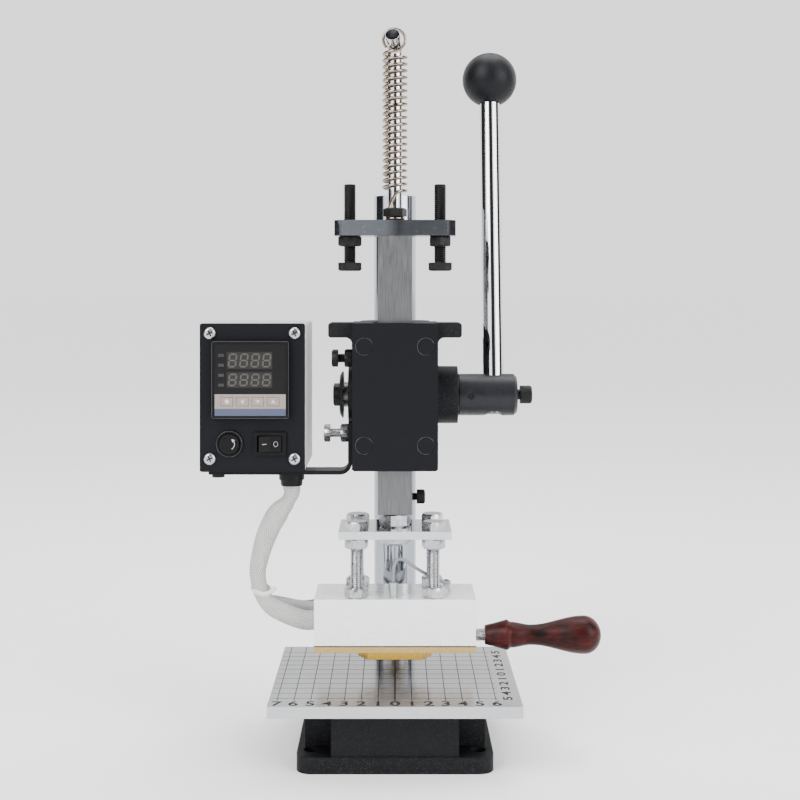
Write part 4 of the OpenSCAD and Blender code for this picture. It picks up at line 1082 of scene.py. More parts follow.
@dataclass
class Base:
    """Cast base, ruled table and column."""

    table_rear: float = 49.0
    table_top: float = 45.0
    rule: float = 10.0
    line_w: float = 0.45
    zero_w: float = 0.9
    left_rules: int = 7
    right_rules: int = 6
    line_start: float = -69.5
    first_row: float = -65.0
    rows: int = 11
    row_over: float = 4.5
    row_right: float = 2.0
    ink_t: float = 0.03
    figure_y: float = -75.4
    figure_h: float = 8.0
    figure_stretch: float = 1.1
    bold: float = 0.03
    side_x: float = 67.5
    side_h: float = 5.4
    side_stretch: float = 1.9
    zero_row: int = 5
    column_y: float = 37.0
    column_clear: float = 16.5

    def rules(self) -> None:
        """Prints the centimetre grid on the table."""
        shell = Shell()
        z = self.table_top
        left = -self.left_rules * self.rule - self.row_over
        right = self.right_rules * self.rule + self.row_right

        def bar(x0: float, y0: float, x1: float, y1: float) -> None:
            """Adds one flat printed bar."""
            shell.merge(block((x0, y0, z), (x1, y1, z + self.ink_t)))

        for i in range(-self.left_rules, self.right_rules + 1):
            half = (self.zero_w if i == 0 else self.line_w) / 2
            x = i * self.rule
            near_column = abs(x) < self.column_clear
            stop = self.column_y - self.column_clear if near_column else self.table_rear
            bar(x - half, self.line_start, x + half, stop)
        for j in range(self.rows):
            y = self.first_row + j * self.rule
            half = self.line_w / 2
            if y > self.column_y - self.column_clear:
                bar(left, y - half, -self.column_clear, y + half)
                bar(self.column_clear, y - half, right, y + half)
            else:
                bar(left, y - half, right, y + half)
        shell.object("table_rules", PRINT_AND_SHADE_INK, Body.BASE)

    def figures(self) -> None:
        """Prints the figures along the front and the right edge."""
        shell = Shell()
        z = self.table_top + self.ink_t
        wide = Matrix.Diagonal((self.figure_stretch, 1.0, 1.0, 1.0))
        wider = Matrix.Diagonal((self.side_stretch, 1.0, 1.0, 1.0))
        for i in range(-self.left_rules, self.right_rules + 1):
            shell.merge(figure(str(abs(i)), self.figure_h, self.bold),
                        placed(i * self.rule, self.figure_y, z) @ wide)
        for k in range(self.rows):
            y = self.first_row + k * self.rule
            shell.merge(figure(str(abs(k - self.zero_row)), self.side_h, self.bold),
                        placed(self.side_x, y, z, spin=90.0) @ wider)
        shell.object("table_figures", PRINT_AND_SHADE_INK, Body.BASE)

    def build(self) -> None:
        """Makes and dresses the base."""
        dress(CAST, "base_casting")
        dress(TABLE, "table_plate")
        dress(COLUMN_DARKENED_CHROME, "column")
        dress(DARK_STEEL, "table_screws", "column_bolt")
        self.rules()
        self.figures()


@dataclass
class Head:
    """Sliding head with its cover, screws and hook rod."""

    left_x: float = -27.0
    bracket_t: float = 2.5
    gib_y: float = -15.0
    gib_low_z: float = 197.8
    gib_high_z: float = 245.2
    low_stand: float = 6.4
    high_stand: float = 4.0
    gib_spins: Pair = (12.0, 20.0)
    slot_x: float = -13.9
    cover_front: float = -31.85
    cover_screws: tuple[Pair, ...] = ((-19.2, 191.6), (19.2, 191.6), (-19.2, 253.2), (19.2, 253.2))
    cover_screw_r: float = 5.4
    rim_worn: range = range(20, 300, 8)
    rim_wire_r: float = 0.1
    rim_out: float = 0.02
    clamp_x: float = 16.0
    clamp_y: float = 67.0
    clamp_zs: Pair = (203.3, 240.1)
    clamp_cap: Cap = (13.0, 8.0, 6.0)
    clamp_end_x: float = -15.0
    clamp_len: float = 31.0
    hook_y: float = 5.05
    hook_bend_z: float = 440.6
    hook_bend_r: float = 8.0
    hook_bend: float = 60.0
    hook_turn: float = 8.0
    hook_tip: float = 9.0
    hook_cut: tuple[Pair, ...] = ((0.5, 0.0), (4.3, 0.0), (4.5, 0.05), (4.2, 0.12), (2.2, 0.18), (0.5, 0.2))

    def gib(self, name: str, seat: float, stand: float, z: float, finish: Finish) -> bpy.types.Object:
        """Makes one gib screw with its lock nut.

        Args:
            name: Name of the piece.
            seat: Face that the nut lies on.
            stand: Bare thread between nut and head.
            z: Height of the screw.
            finish: Its finish.

        Returns:
            The new object.
        """
        head_in = seat - M6.nut_h - stand
        nut_spin, head_spin = self.gib_spins
        shell = Shell()
        shell.merge(M6.nut(), placed(seat, self.gib_y, z, Axis.LEFT, nut_spin))
        shell.merge(M6.head(), placed(head_in, self.gib_y, z, Axis.LEFT, head_spin))
        shell.merge(M6.rod(self.slot_x - head_in), placed(head_in, self.gib_y, z, Axis.RIGHT))
        return shell.object(name, finish, Body.HEAD, CRISP)

    def gibs(self) -> None:
        """Makes the two gib screws, the low one on the bracket strip."""
        low = self.gib("gib_screw_low", self.left_x - self.bracket_t, self.low_stand, self.gib_low_z, ZINC)
        high = self.gib("gib_screw_high", self.left_x, self.high_stand, self.gib_high_z, OXIDE)
        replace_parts(low, "gib_screws")
        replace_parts(high, "gib_screws")

    def cover_rims(self) -> None:
        """Makes thin steel arcs round the flush screws of the cover."""
        rims = Shell()
        ring = arc((self.cover_screw_r, self.cover_screw_r), self.rim_worn)
        y = self.cover_front - self.rim_out
        for x, z in self.cover_screws:
            rims.merge(tube(ring, self.rim_wire_r, WIRE_SIDES), placed(x, y, z, Axis.FRONT))
        rims.object("cover_screw_rims", DARK_STEEL, Body.HEAD)

    def clamp(self) -> None:
        """Makes the bolts that clamp the head on its column."""
        bolts = Shell()
        for z in self.clamp_zs:
            bolts.merge(cap_screw(*self.clamp_cap), placed(self.clamp_x, self.clamp_y, z, Axis.RIGHT))
            bolts.merge(M8.rod(self.clamp_len), placed(self.clamp_end_x, self.clamp_y, z, Axis.RIGHT))
        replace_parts(bolts.object("column_clamp_bolts", OXIDE, Body.HEAD, CRISP), "clamp_bolts")

    def hook_face(self) -> None:
        """Makes the rough cut at the tip of the hook rod."""
        place = placed(0.0, self.hook_y, self.hook_bend_z) @ turned(-self.hook_turn, "Z")
        place = place @ moved(0.0, -self.hook_bend_r, 0.0) @ turned(self.hook_bend, "X")
        place = place @ moved(0.0, self.hook_bend_r, self.hook_tip)
        lathe(self.hook_cut, sides=40).at(place).object("hook_cut_face", CAST, Body.HEAD)

    def build(self) -> None:
        """Makes and dresses the head."""
        dress(CAST, "head_housing")
        dress(SATIN_BLACK, "front_cover", "control_bracket", "cover_screws")
        dress(GROUND, "gib_strip")
        dress(CHROME, "hook_rod")
        dress(BRONZE, "shaft_bushes")
        self.gibs()
        self.cover_rims()
        self.clamp()
        self.hook_face()


@dataclass
class ControlBox:
    """Box with temperature controller, fuse and switch."""

    front_y: float = -30.0
    screw_at: tuple[Pair, ...] = ((-115.2, 183.3), (-62.5, 183.3), (-115.2, 261.4), (-62.5, 261.4))
    screw_head_d: float = 7.7
    screw_head_h: float = 2.4
    screw_len: float = 11.0
    cross_w: float = 4.2
    cross_out: float = 2.38
    cross_spin: float = 25.0
    bezel_y: float = -35.0
    bezel_inset: float = 0.25
    bezel_corner: float = 1.2
    bezel_sink: float = 0.05
    bezel_wire_r: float = 0.16
    face_y: float = -34.7
    face_left: float = -112.15
    face_right: float = -67.15
    film_margin: float = 0.5
    panel_edge: float = 0.02
    key_xs: tuple[float, ...] = (-104.05, -94.5, -84.95, -75.4)
    key_z: float = 219.3
    key_half: Pair = (3.75, 2.75)
    strip_z: Pair = (214.8, 223.8)
    band_z: Pair = (210.4, 214.8)
    window_x: Pair = (-104.1, -76.0)
    window_zs: tuple[Pair, Pair] = ((239.5, 250.0), (227.9, 237.5))
    window_out: float = 0.04
    digits: int = 4
    digit_left: float = 1.0
    digit_low: float = 1.4
    digit_room: float = 2.8
    bar_share: float = 0.23
    gap_share: float = 0.05
    digit_lean: float = 0.12
    bar_t: float = 0.05
    bar_out: float = 0.1
    lamp_zs: tuple[float, ...] = (247.9, 241.8, 235.6, 229.5)
    lamp_x: float = -107.7
    lamp_half: Pair = (1.7, 0.9)
    lamp_out: float = 0.08
    sign_t: float = 0.03
    sign_r: float = 1.4
    key_arrow: tuple[Pair, ...] = ((-1.5, -0.9), (1.5, -0.9), (0.0, 1.3))
    fuse_at: Point = (-102.9, -34.0, 192.7)
    fuse_cap: tuple[Pair, ...] = ((6.5, -3.4), (6.5, -0.5), (6.1, 0.0), (4.6, 0.0), (4.4, -0.35),
                                  (0.4, -0.35))
    fuse_rim_r: float = 8.0
    fuse_rim_wire: float = 0.12
    fuse_rim_out: float = 2.45
    fuse_arc_r: float = 3.4
    fuse_arc_z: float = -0.33
    fuse_arc_wire: float = 0.2
    fuse_arrow: tuple[Pair, ...] = ((-1.0, -0.7), (1.0, -0.7), (0.0, 1.2))
    fuse_arrow_t: float = 0.08
    fuse_arrow_z: float = -0.35
    fuse_arrow_turn: float = 45.0
    rocker_at: Point = (-77.9, -30.5, 192.7)
    rocker_tilt: float = 8.0
    rocker_rise: Pair = (1.0, 7.0)
    rocker_sign_at: Pair = (3.5, -2.93)
    rocker_line: Pair = (1.3, 0.17)
    rocker_ring: Pair = (1.3, 1.6)
    rocker_wire_r: float = 0.11

    def panel_screws(self) -> None:
        """Makes the cross-headed screws of the front panel."""
        heads, marks = Shell(), Shell()
        for x, z in self.screw_at:
            head = pan_head(self.screw_head_d, self.screw_head_h)
            heads.merge(head, placed(x, self.front_y, z, Axis.FRONT))
            heads.merge(M4.rod(self.screw_len), placed(x, self.front_y, z, Axis.BACK))
            # A flat dark cross paints the shade in each driver recess.
            marks.merge(cross_mark(self.cross_w),
                        placed(x, self.front_y - self.cross_out, z, Axis.FRONT, self.cross_spin))
        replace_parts(heads.object("panel_cross_screws", ZINC, Body.HEAD), "panel_screws")
        marks.object("panel_screw_recess_shade", PRINT_AND_SHADE_INK, Body.HEAD)

    def flat(self, x0: float, x1: float, z0: float, z1: float, proud: float = 0.05) -> Shell:
        """Makes a thin panel on the controller's face.

        Args:
            x0: Left edge.
            x1: Right edge.
            z0: Lower edge.
            z1: Upper edge.
            proud: How far it stands out.

        Returns:
            The shell.
        """
        return block((x0, self.face_y - proud, z0), (x1, self.face_y, z1), self.panel_edge)

    def digit(self, x: float, z: float, w: float, h: float) -> Shell:
        """Makes the seven bars of one unlit figure.

        Args:
            x: Left edge.
            z: Lower edge.
            w: Width.
            h: Height.

        Returns:
            The shell.
        """
        shell = Shell()
        b, gap, half = w * self.bar_share / 2, w * self.gap_share, h / 2

        def segment(x0: float, z0: float, length: float, upright: bool) -> None:
            """Adds one six-cornered bar.

            Args:
                x0: Where it starts across.
                z0: Where it starts in height.
                length: Its length.
                upright: True where it stands.
            """
            corners = [(0.0, 0.0), (b, -b), (length - b, -b), (length, 0.0), (length - b, b), (b, b)]
            if upright:
                corners = [(-q, p) for p, q in corners]
            outline = [(x0 + p + (z0 + q - z) * self.digit_lean, z0 + q) for p, q in corners]
            shell.merge(plate(outline, self.bar_t), placed(0.0, self.face_y - self.bar_out, 0.0, Axis.FRONT))

        for row in range(3):
            segment(x + gap, z + row * half, w - 2 * gap, False)
        for side in (0.0, w):
            for row in range(2):
                segment(x + side, z + row * half + gap, half - 2 * gap, True)
        return shell

    def key_strip(self) -> None:
        """Makes the film round the keys and the band under it."""
        strip = Shell()
        wide, high = self.key_half
        left, right = self.face_left + self.film_margin, self.face_right - self.film_margin
        edges = [left, *[e for x in self.key_xs for e in (x - wide, x + wide)], right]
        for x0, x1 in zip(edges[::2], edges[1::2]):
            strip.merge(self.flat(x0, x1, *self.strip_z))
        for x in self.key_xs:
            strip.merge(self.flat(x - wide, x + wide, self.strip_z[0], self.key_z - high))
            strip.merge(self.flat(x - wide, x + wide, self.key_z + high, self.strip_z[1]))
        strip.object("key_strip", FILM, Body.HEAD)
        self.flat(left, right, *self.band_z).object("blue_band", BLUE, Body.HEAD)

    def windows(self) -> None:
        """Makes the number windows, their unlit figures and the signal lamps."""
        panes, figures, lamps = Shell(), Shell(), Shell()
        left, right = self.window_x
        pitch = (right - left) / self.digits
        for z0, z1 in self.window_zs:
            panes.merge(self.flat(left, right, z0, z1, self.window_out))
            for k in range(self.digits):
                figures.merge(self.digit(left + k * pitch + self.digit_left, z0 + self.digit_low,
                                         pitch - self.digit_room, z1 - z0 - self.digit_room))
        wide, high = self.lamp_half
        for z in self.lamp_zs:
            lamps.merge(self.flat(self.lamp_x - wide, self.lamp_x + wide, z - high, z + high, self.lamp_out))
        panes.object("number_windows", WINDOW, Body.HEAD)
        figures.object("unlit_figures", UNLIT, Body.HEAD)
        lamps.object("signal_lamps", DIM, Body.HEAD)

    def bezel_rim(self) -> None:
        """Makes a painted highlight: a paler line along the front edge of the controller's bezel."""
        low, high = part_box("controller_case")
        x0, x1, z0, z1 = (c / MM for c in (low[0], high[0], low[2], high[2]))
        inset = self.bezel_inset + self.bezel_corner
        path: list[Vector] = []
        for x, z, start in ((x1, z1, 0), (x0, z1, 90), (x0, z0, 180), (x1, z0, 270)):
            centre = Vector((x - math.copysign(inset, x - (x0 + x1) / 2), self.bezel_y + self.bezel_sink,
                             z - math.copysign(inset, z - (z0 + z1) / 2)))
            for a in (math.radians(start + d) for d in range(0, 91, 15)):
                path.append(centre + self.bezel_corner * Vector((math.cos(a), 0.0, math.sin(a))))
        rim = tube([*path, path[0]], self.bezel_wire_r, WIRE_SIDES)
        rim.object("bezel_rim", BEZEL_HIGHLIGHT, Body.HEAD, SOFT)

    def key_marks(self) -> None:
        """Prints a plain sign on each key."""
        arrow = plate(self.key_arrow, self.sign_t)
        dot = lathe([(self.sign_r, 0.0), (self.sign_r, self.sign_t)], sides=24)
        signs = {"key_set": (dot, 0.0), "key_shift": (arrow, 90.0), "key_down": (arrow, 180.0),
                 "key_up": (arrow, 0.0)}
        for (name, (shell, spin)), x in zip(signs.items(), self.key_xs):
            sign = shell.at(placed(x, self.bezel_y, self.key_z, Axis.FRONT, spin))
            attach(sign.object(name + "_sign", WHITE_MARK, None), name)

    def fuse(self) -> None:
        """Makes the fuse cap, a painted highlight ring round it and its turning arrow."""
        dress(PLASTIC, "fuse_holder")
        x, y, z = self.fuse_at
        place = placed(x, y, z, Axis.FRONT)
        made = lathe(self.fuse_cap).at(place).object("fuse_turn_cap", PLASTIC, Body.FUSE_CAP)
        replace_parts(made, "fuse_cap")
        # A thin metal ring paints the highlight on the fuse holder's rim.
        circle = arc((self.fuse_rim_r, self.fuse_rim_r), range(0, 361, 8))
        ring = tube(circle, self.fuse_rim_wire, WIRE_SIDES)
        rim = ring.at(placed(x, self.front_y - self.fuse_rim_out, z, Axis.FRONT))
        rim.object("fuse_painted_highlight", DARK_STEEL, Body.HEAD)
        marks = Shell()
        curve = arc((self.fuse_arc_r, self.fuse_arc_r), range(-60, 41, 10), self.fuse_arc_z)
        marks.merge(tube(curve, self.fuse_arc_wire, WIRE_SIDES), place)
        tip = place @ turned(self.fuse_arrow_turn, "Z") @ moved(self.fuse_arc_r, 0.0, self.fuse_arrow_z)
        marks.merge(plate(self.fuse_arrow, self.fuse_arrow_t), tip)
        marks.object("fuse_marks", WHITE_MARK, Body.FUSE_CAP)

    def rocker(self) -> None:
        """Prints the on and off signs on the rocker."""
        dress(PLASTIC, "switch_body")
        dress(PLASTIC, "rocker")
        hub = placed(*self.rocker_at) @ turned(self.rocker_tilt, "Z")
        slope = math.degrees(math.atan2(*self.rocker_rise))
        x, y = self.rocker_sign_at
        left = hub @ moved(-x, y, 0.0) @ turned(slope, "Z")
        right = hub @ moved(x, y, 0.0) @ turned(-slope, "Z")
        long, wide = self.rocker_line
        marks = Shell()
        marks.merge(block((-long, -wide, 0.0), (long, wide, SIGN_T)), left @ Axis.FRONT.turn())
        ring = tube(arc(self.rocker_ring, range(0, 361, 15)), self.rocker_wire_r, WIRE_SIDES)
        marks.merge(ring, right @ Axis.FRONT.turn())
        marks.object("rocker_signs", WHITE_MARK, Body.ROCKER)

    def build(self) -> None:
        """Makes and dresses the control box."""
        dress(GREY_BOX, "box_shell")
        dress(SATIN_BLACK, "box_panel")
        dress(PLASTIC, "cable_glands", "controller_case")
        dress(OXIDE, "bracket_screws")
        dress(SMOKED, "controller_face")
        dress(FILM, "key_set", "key_shift", "key_down", "key_up")
        self.panel_screws()
        self.key_strip()
        self.windows()
        self.bezel_rim()
        self.key_marks()
        self.fuse()
        self.rocker()


@dataclass
class Lever:
    """Pinion shaft, hub, rod and ball knob."""

    axis_y: float = 5.05
    axis_z: float = 220.5
    rod_x: float = 63.9
    lean: float = 10.0
    reach: float = 213.0
    knob_d: float = 36.5
    knob_flat: float = 1.0
    knob_hole: float = 3.0
    knob_clear: float = 0.1
    knob_rings: int = 40
    rod_d: float = 13.5
    rod_tail: float = 12.0
    end_profile: tuple[Pair, ...] = ((-4.75, -0.25), (-0.8, -0.25), (-0.15, 0.0), (-0.15, 0.3), (-4.75, 0.3))
    hub_end: float = 78.7
    neck_r: float = 3.35
    neck_len: float = 10.9
    neck_in: float = 8.2
    clamp_cap: Cap = (11.7, 7.5, 6.0)
    clamp_out: float = 2.4
    washer_x: float = -33.3
    washer: tuple[Pair, ...] = ((4.3, 0.6), (11.0, 0.6), (13.2, 0.0), (15.0, 0.0), (15.0, 0.9), (12.6, 2.3),
                                (4.3, 2.3))
    washer_t: float = 2.3
    bolt_head_h: float = 4.3
    bolt_len: float = 20.3
    bolt_spin: float = 15.0

    def along_rod(self) -> Matrix:
        """Returns the place of the rod's axis, up from the shaft."""
        return placed(self.rod_x, self.axis_y, self.axis_z) @ turned(-self.lean, "X")

    def knob(self) -> None:
        """Makes the ball knob with its flat round the rod."""
        half = self.knob_d / 2
        hole_r = self.rod_d / 2 + self.knob_clear
        low = math.degrees(math.asin((half - self.knob_flat) / half))
        outline = [(hole_r, -half + self.knob_hole), (hole_r, -half + self.knob_flat)]
        for i in range(self.knob_rings + 1):
            angle = math.radians(-low + (90 + low) * i / self.knob_rings)
            outline.append((max(half * math.cos(angle), LEAST_R), half * math.sin(angle)))
        ball = lathe(outline, sides=72).at(self.along_rod() @ moved(0.0, 0.0, self.reach))
        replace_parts(ball.object("lever_ball", KNOB, Body.LEVER), "ball_knob")

    def hub_screw(self) -> None:
        """Makes the clamp screw at the end of the hub."""
        y, z = self.axis_y, self.axis_z
        neck = lathe([(self.neck_r, 0.0), (self.neck_r, self.neck_len)], sides=32)
        screw = Shell()
        screw.merge(neck, placed(self.hub_end - self.neck_in, y, z, Axis.RIGHT))
        screw.merge(cap_screw(*self.clamp_cap), placed(self.hub_end + self.clamp_out, y, z, Axis.RIGHT))
        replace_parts(screw.object("hub_clamp_screw", OXIDE, Body.LEVER, CRISP), "rod_clamp_screw")

    def shaft_end(self) -> None:
        """Makes the bolt and the washer at the left end of the shaft."""
        y, z = self.axis_y, self.axis_z
        seat = self.washer_x - self.washer_t
        bolt = Shell()
        bolt.merge(hex_head(M8.flats, self.bolt_head_h), placed(seat, y, z, Axis.LEFT, self.bolt_spin))
        bolt.merge(M8.rod(self.bolt_len), placed(seat, y, z, Axis.RIGHT))
        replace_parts(bolt.object("shaft_end_bolt", OXIDE, Body.LEVER, CRISP), "shaft_bolt")
        rim = lathe(self.washer, sides=56).at(placed(self.washer_x, y, z, Axis.LEFT))
        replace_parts(rim.object("shaft_end_washer", OXIDE, Body.LEVER), "shaft_washer")

    def rod_end(self) -> None:
        """Makes a dark disc on the lower end of the rod, painted shade where the hub's hole looks dark."""
        end = lathe([(self.rod_d / 2 + r, z) for r, z in self.end_profile], sides=40)
        low = self.along_rod() @ moved(0.0, 0.0, -self.rod_tail)
        # Painted shade: the dark disc covers the rod's end.
        end.at(low).object("rod_end_painted_shade", OXIDE, Body.LEVER)

    def build(self) -> None:
        """Makes and dresses the lever."""
        dress(GROUND, "pinion_shaft")
        dress(HUB_BLACK, "lever_hub")
        dress(OXIDE, "hub_pin")
        dress(CHROME, "lever_rod")
        self.knob()
        self.hub_screw()
        self.shaft_end()
        self.rod_end()


@dataclass
class Ram:
    """Rack ram with its top bar, stop bolts and hanger."""

    y: float = -15.0
    ram_top: float = 322.5
    bar_bolt_z: float = 334.9
    bar_bolt_len: float = 32.4
    bar_bolt_spin: float = 8.0
    stop_x: float = 28.6
    stop_head_z: float = 300.4
    stop_top: float = 355.2
    stop_spin: float = 12.0
    stop_nut_spins: Pair = (10.0, 30.0)
    hanger_top: float = 139.2
    hanger_z: float = 134.2
    block_top: float = 97.3
    bolt_x: float = 24.0
    bolt_ys: Pair = (-29.5, -0.5)
    bolt_len: float = 49.9
    bolt_spins: Pair = (14.0, 9.0)
    low_nut_spin: float = 11.0
    stem_z: float = 127.0
    stem_len: float = 44.6
    stem_nut_hs: Pair = (8.4, 6.0)
    stem_nut_spins: Pair = (16.0, 4.0)
    stem_screw_z: float = 157.5
    stem_cap: Cap = (9.0, 5.3, 4.0)
    stem_cap_x: float = 13.75
    stem_screw_len: float = 7.7
    stem_screw_x: float = 6.05

    def top(self) -> None:
        """Makes the top bar's bolt, the stop bolts and their lock nuts."""
        bolt = Shell()
        bolt.merge(M8.head(), placed(0.0, self.y, self.bar_bolt_z, spin=self.bar_bolt_spin))
        bolt.merge(M8.rod(self.bar_bolt_len), placed(0.0, self.y, self.bar_bolt_z, Axis.DOWN))
        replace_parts(bolt.object("bar_bolt", OXIDE, Body.RAM, CRISP), "top_bar_bolt")
        nuts = Shell()
        for x, spin in zip((-self.stop_x, self.stop_x), self.stop_nut_spins):
            nuts.merge(M8.nut(), placed(x, self.y, self.ram_top - M8.nut_h, spin=spin))
        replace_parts(nuts.object("stop_nuts", OXIDE, Body.RAM, CRISP), "stop_lock_nuts")
        seat = self.stop_head_z + M8.head_h
        for side, body in ((-1, Body.STOP_LEFT), (1, Body.STOP_RIGHT)):
            x = side * self.stop_x
            stop = Shell()
            stop.merge(M8.head(), placed(x, self.y, seat, Axis.DOWN, self.stop_spin * side))
            stop.merge(M8.rod(self.stop_top - self.stop_head_z - M8.head_h), placed(x, self.y, seat))
            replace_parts(stop.object(body.value + "_screw", OXIDE, body, CRISP), body.value)

    def hanger(self) -> None:
        """Makes the four hanger bolts and their nuts above and below."""
        bolts, nuts = Shell(), Shell()
        for side in (-1, 1):
            for k, y in enumerate(self.bolt_ys):
                x = side * self.bolt_x
                spin = self.bolt_spins[0] * side + self.bolt_spins[1] * k
                bolts.merge(M8.head(), placed(x, y, self.hanger_top, spin=spin))
                bolts.merge(M8.rod(self.bolt_len), placed(x, y, self.hanger_top - self.bolt_len))
                nuts.merge(M8.nut(), placed(x, y, self.hanger_z - M8.nut_h, spin=-spin))
                nuts.merge(M8.nut(), placed(x, y, self.block_top, spin=spin + self.low_nut_spin))
        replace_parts(bolts.object("hanger_screws", ZINC, Body.RAM, CRISP), "hanger_bolts")
        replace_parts(nuts.object("hanger_lock_nuts", ZINC, Body.RAM, CRISP), "hanger_nuts")

    def stem(self) -> None:
        """Makes the threaded stem, its two nuts and the screw that clamps it."""
        nuts = Shell()
        heights = (self.hanger_top, self.hanger_z - self.stem_nut_hs[1])
        for thick, spin, z in zip(self.stem_nut_hs, self.stem_nut_spins, heights):
            nut = hex_head(M12.flats, thick, M12.bore, both=True)
            nuts.merge(nut, placed(0.0, self.y, z, spin=spin))
        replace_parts(nuts.object("stem_lock_nuts", ZINC, Body.RAM, CRISP), "stem_nuts")
        stem = M12.rod(self.stem_len, sides=32).at(placed(0.0, self.y, self.stem_z))
        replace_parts(stem.object("threaded_stem", ZINC, Body.RAM, CRISP), "hanger_stem")
        screw = Shell()
        for shell, x in ((cap_screw(*self.stem_cap), self.stem_cap_x),
                         (M5.rod(self.stem_screw_len), self.stem_screw_x)):
            screw.merge(shell, placed(x, self.y, self.stem_screw_z, Axis.RIGHT))
        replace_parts(screw.object("stem_screw", OXIDE, Body.RAM, CRISP), "stem_clamp_screw")

    def build(self) -> None:
        """Makes and dresses the ram."""
        dress(GROUND, "ram_bar")
        # The top bar's colour holds painted reflections.
        dress(BAR_PAINTED_REFLECTIONS, "top_bar")
        dress(PLATE, "hanger_plate")
        self.top()
        self.hanger()
        self.stem()


@dataclass
class HeatedTool:
    """Heating block, die and wooden handle."""

    half_w: float = 50.0
    front_y: float = -37.0
    rear_y: float = 7.0
    block_z: float = 68.2
    seam_out: float = 0.12
    seam_z: Pair = (0.3, 0.5)
    handle_at: Point = (56.0, -27.5, 73.2)
    handle_len: float = 72.5
    handle_r: float = 11.7
    collar: tuple[Pair, ...] = ((0.0, 5.6), (0.5, 6.0), (6.0, 7.2), (12.3, 8.9), (13.1, 9.25), (13.7, 9.3),
                                (14.4, 9.1), (15.5, 8.2))
    neck_start: Pair = (16.0, 7.9)
    neck: Pair = (28.7, 6.2)
    neck_rings: int = 14
    belly_rings: int = 24
    butt: float = 10.5
    butt_step: int = 6
    stud_x: float = 42.0
    stud_len: float = 28.0

    def eased(self, start: Pair, end: Pair, steps: int) -> list[Pair]:
        """Runs smoothly from one radius to the next.

        Args:
            start: Place along the handle and radius where it starts.
            end: Place and radius where it ends.
            steps: Points on the way, without the last.

        Returns:
            The places and radii.
        """
        (x0, r0), (x1, r1) = start, end
        return [(x0 + (x1 - x0) * i / steps, r0 + (r1 - r0) * (1 - math.cos(math.pi * i / steps)) / 2)
                for i in range(steps)]

    def handle(self) -> None:
        """Turns the wooden handle and cuts its threaded stud."""
        belly = self.handle_len - self.butt
        outline = [*self.collar, *self.eased(self.neck_start, self.neck, self.neck_rings)]
        outline += self.eased(self.neck, (belly, self.handle_r), self.belly_rings)
        outline += [(belly + self.butt * math.sin(a), max(self.handle_r * math.cos(a), LEAST_R))
                    for a in (math.radians(d) for d in range(0, 91, self.butt_step))]
        x, y, z = self.handle_at
        grip = lathe([(r, along) for along, r in outline], sides=64)
        wood = grip.at(placed(x, y, z, Axis.RIGHT))
        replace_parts(wood.object("turned_handle", WOOD, Body.RAM, SOFT), "wooden_handle")
        stud = M8.rod(self.stud_len).at(placed(self.stud_x, y, z, Axis.RIGHT))
        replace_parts(stud.object("handle_screw", ZINC, Body.RAM, CRISP), "handle_stud")

    def seam(self) -> None:
        """Lays a thin dark line round the join between block and die plate."""
        out, (below, above) = self.seam_out, self.seam_z
        line = block((-self.half_w - out, self.front_y - out, self.block_z - below),
                     (self.half_w + out, self.rear_y + out, self.block_z + above))
        line.object("dark_join_seam", DARK_JOIN, Body.RAM)

    def build(self) -> None:
        """Makes and dresses the heated tool."""
        dress(BLOCK, "heating_block")
        dress(PALE_BRASS, "die_plate")
        dress(BRASS, "stamping_die")
        dress(ZINC, "die_plate_screws", "heater_cartridges", "thermocouple_probe")
        self.handle()
        self.seam()


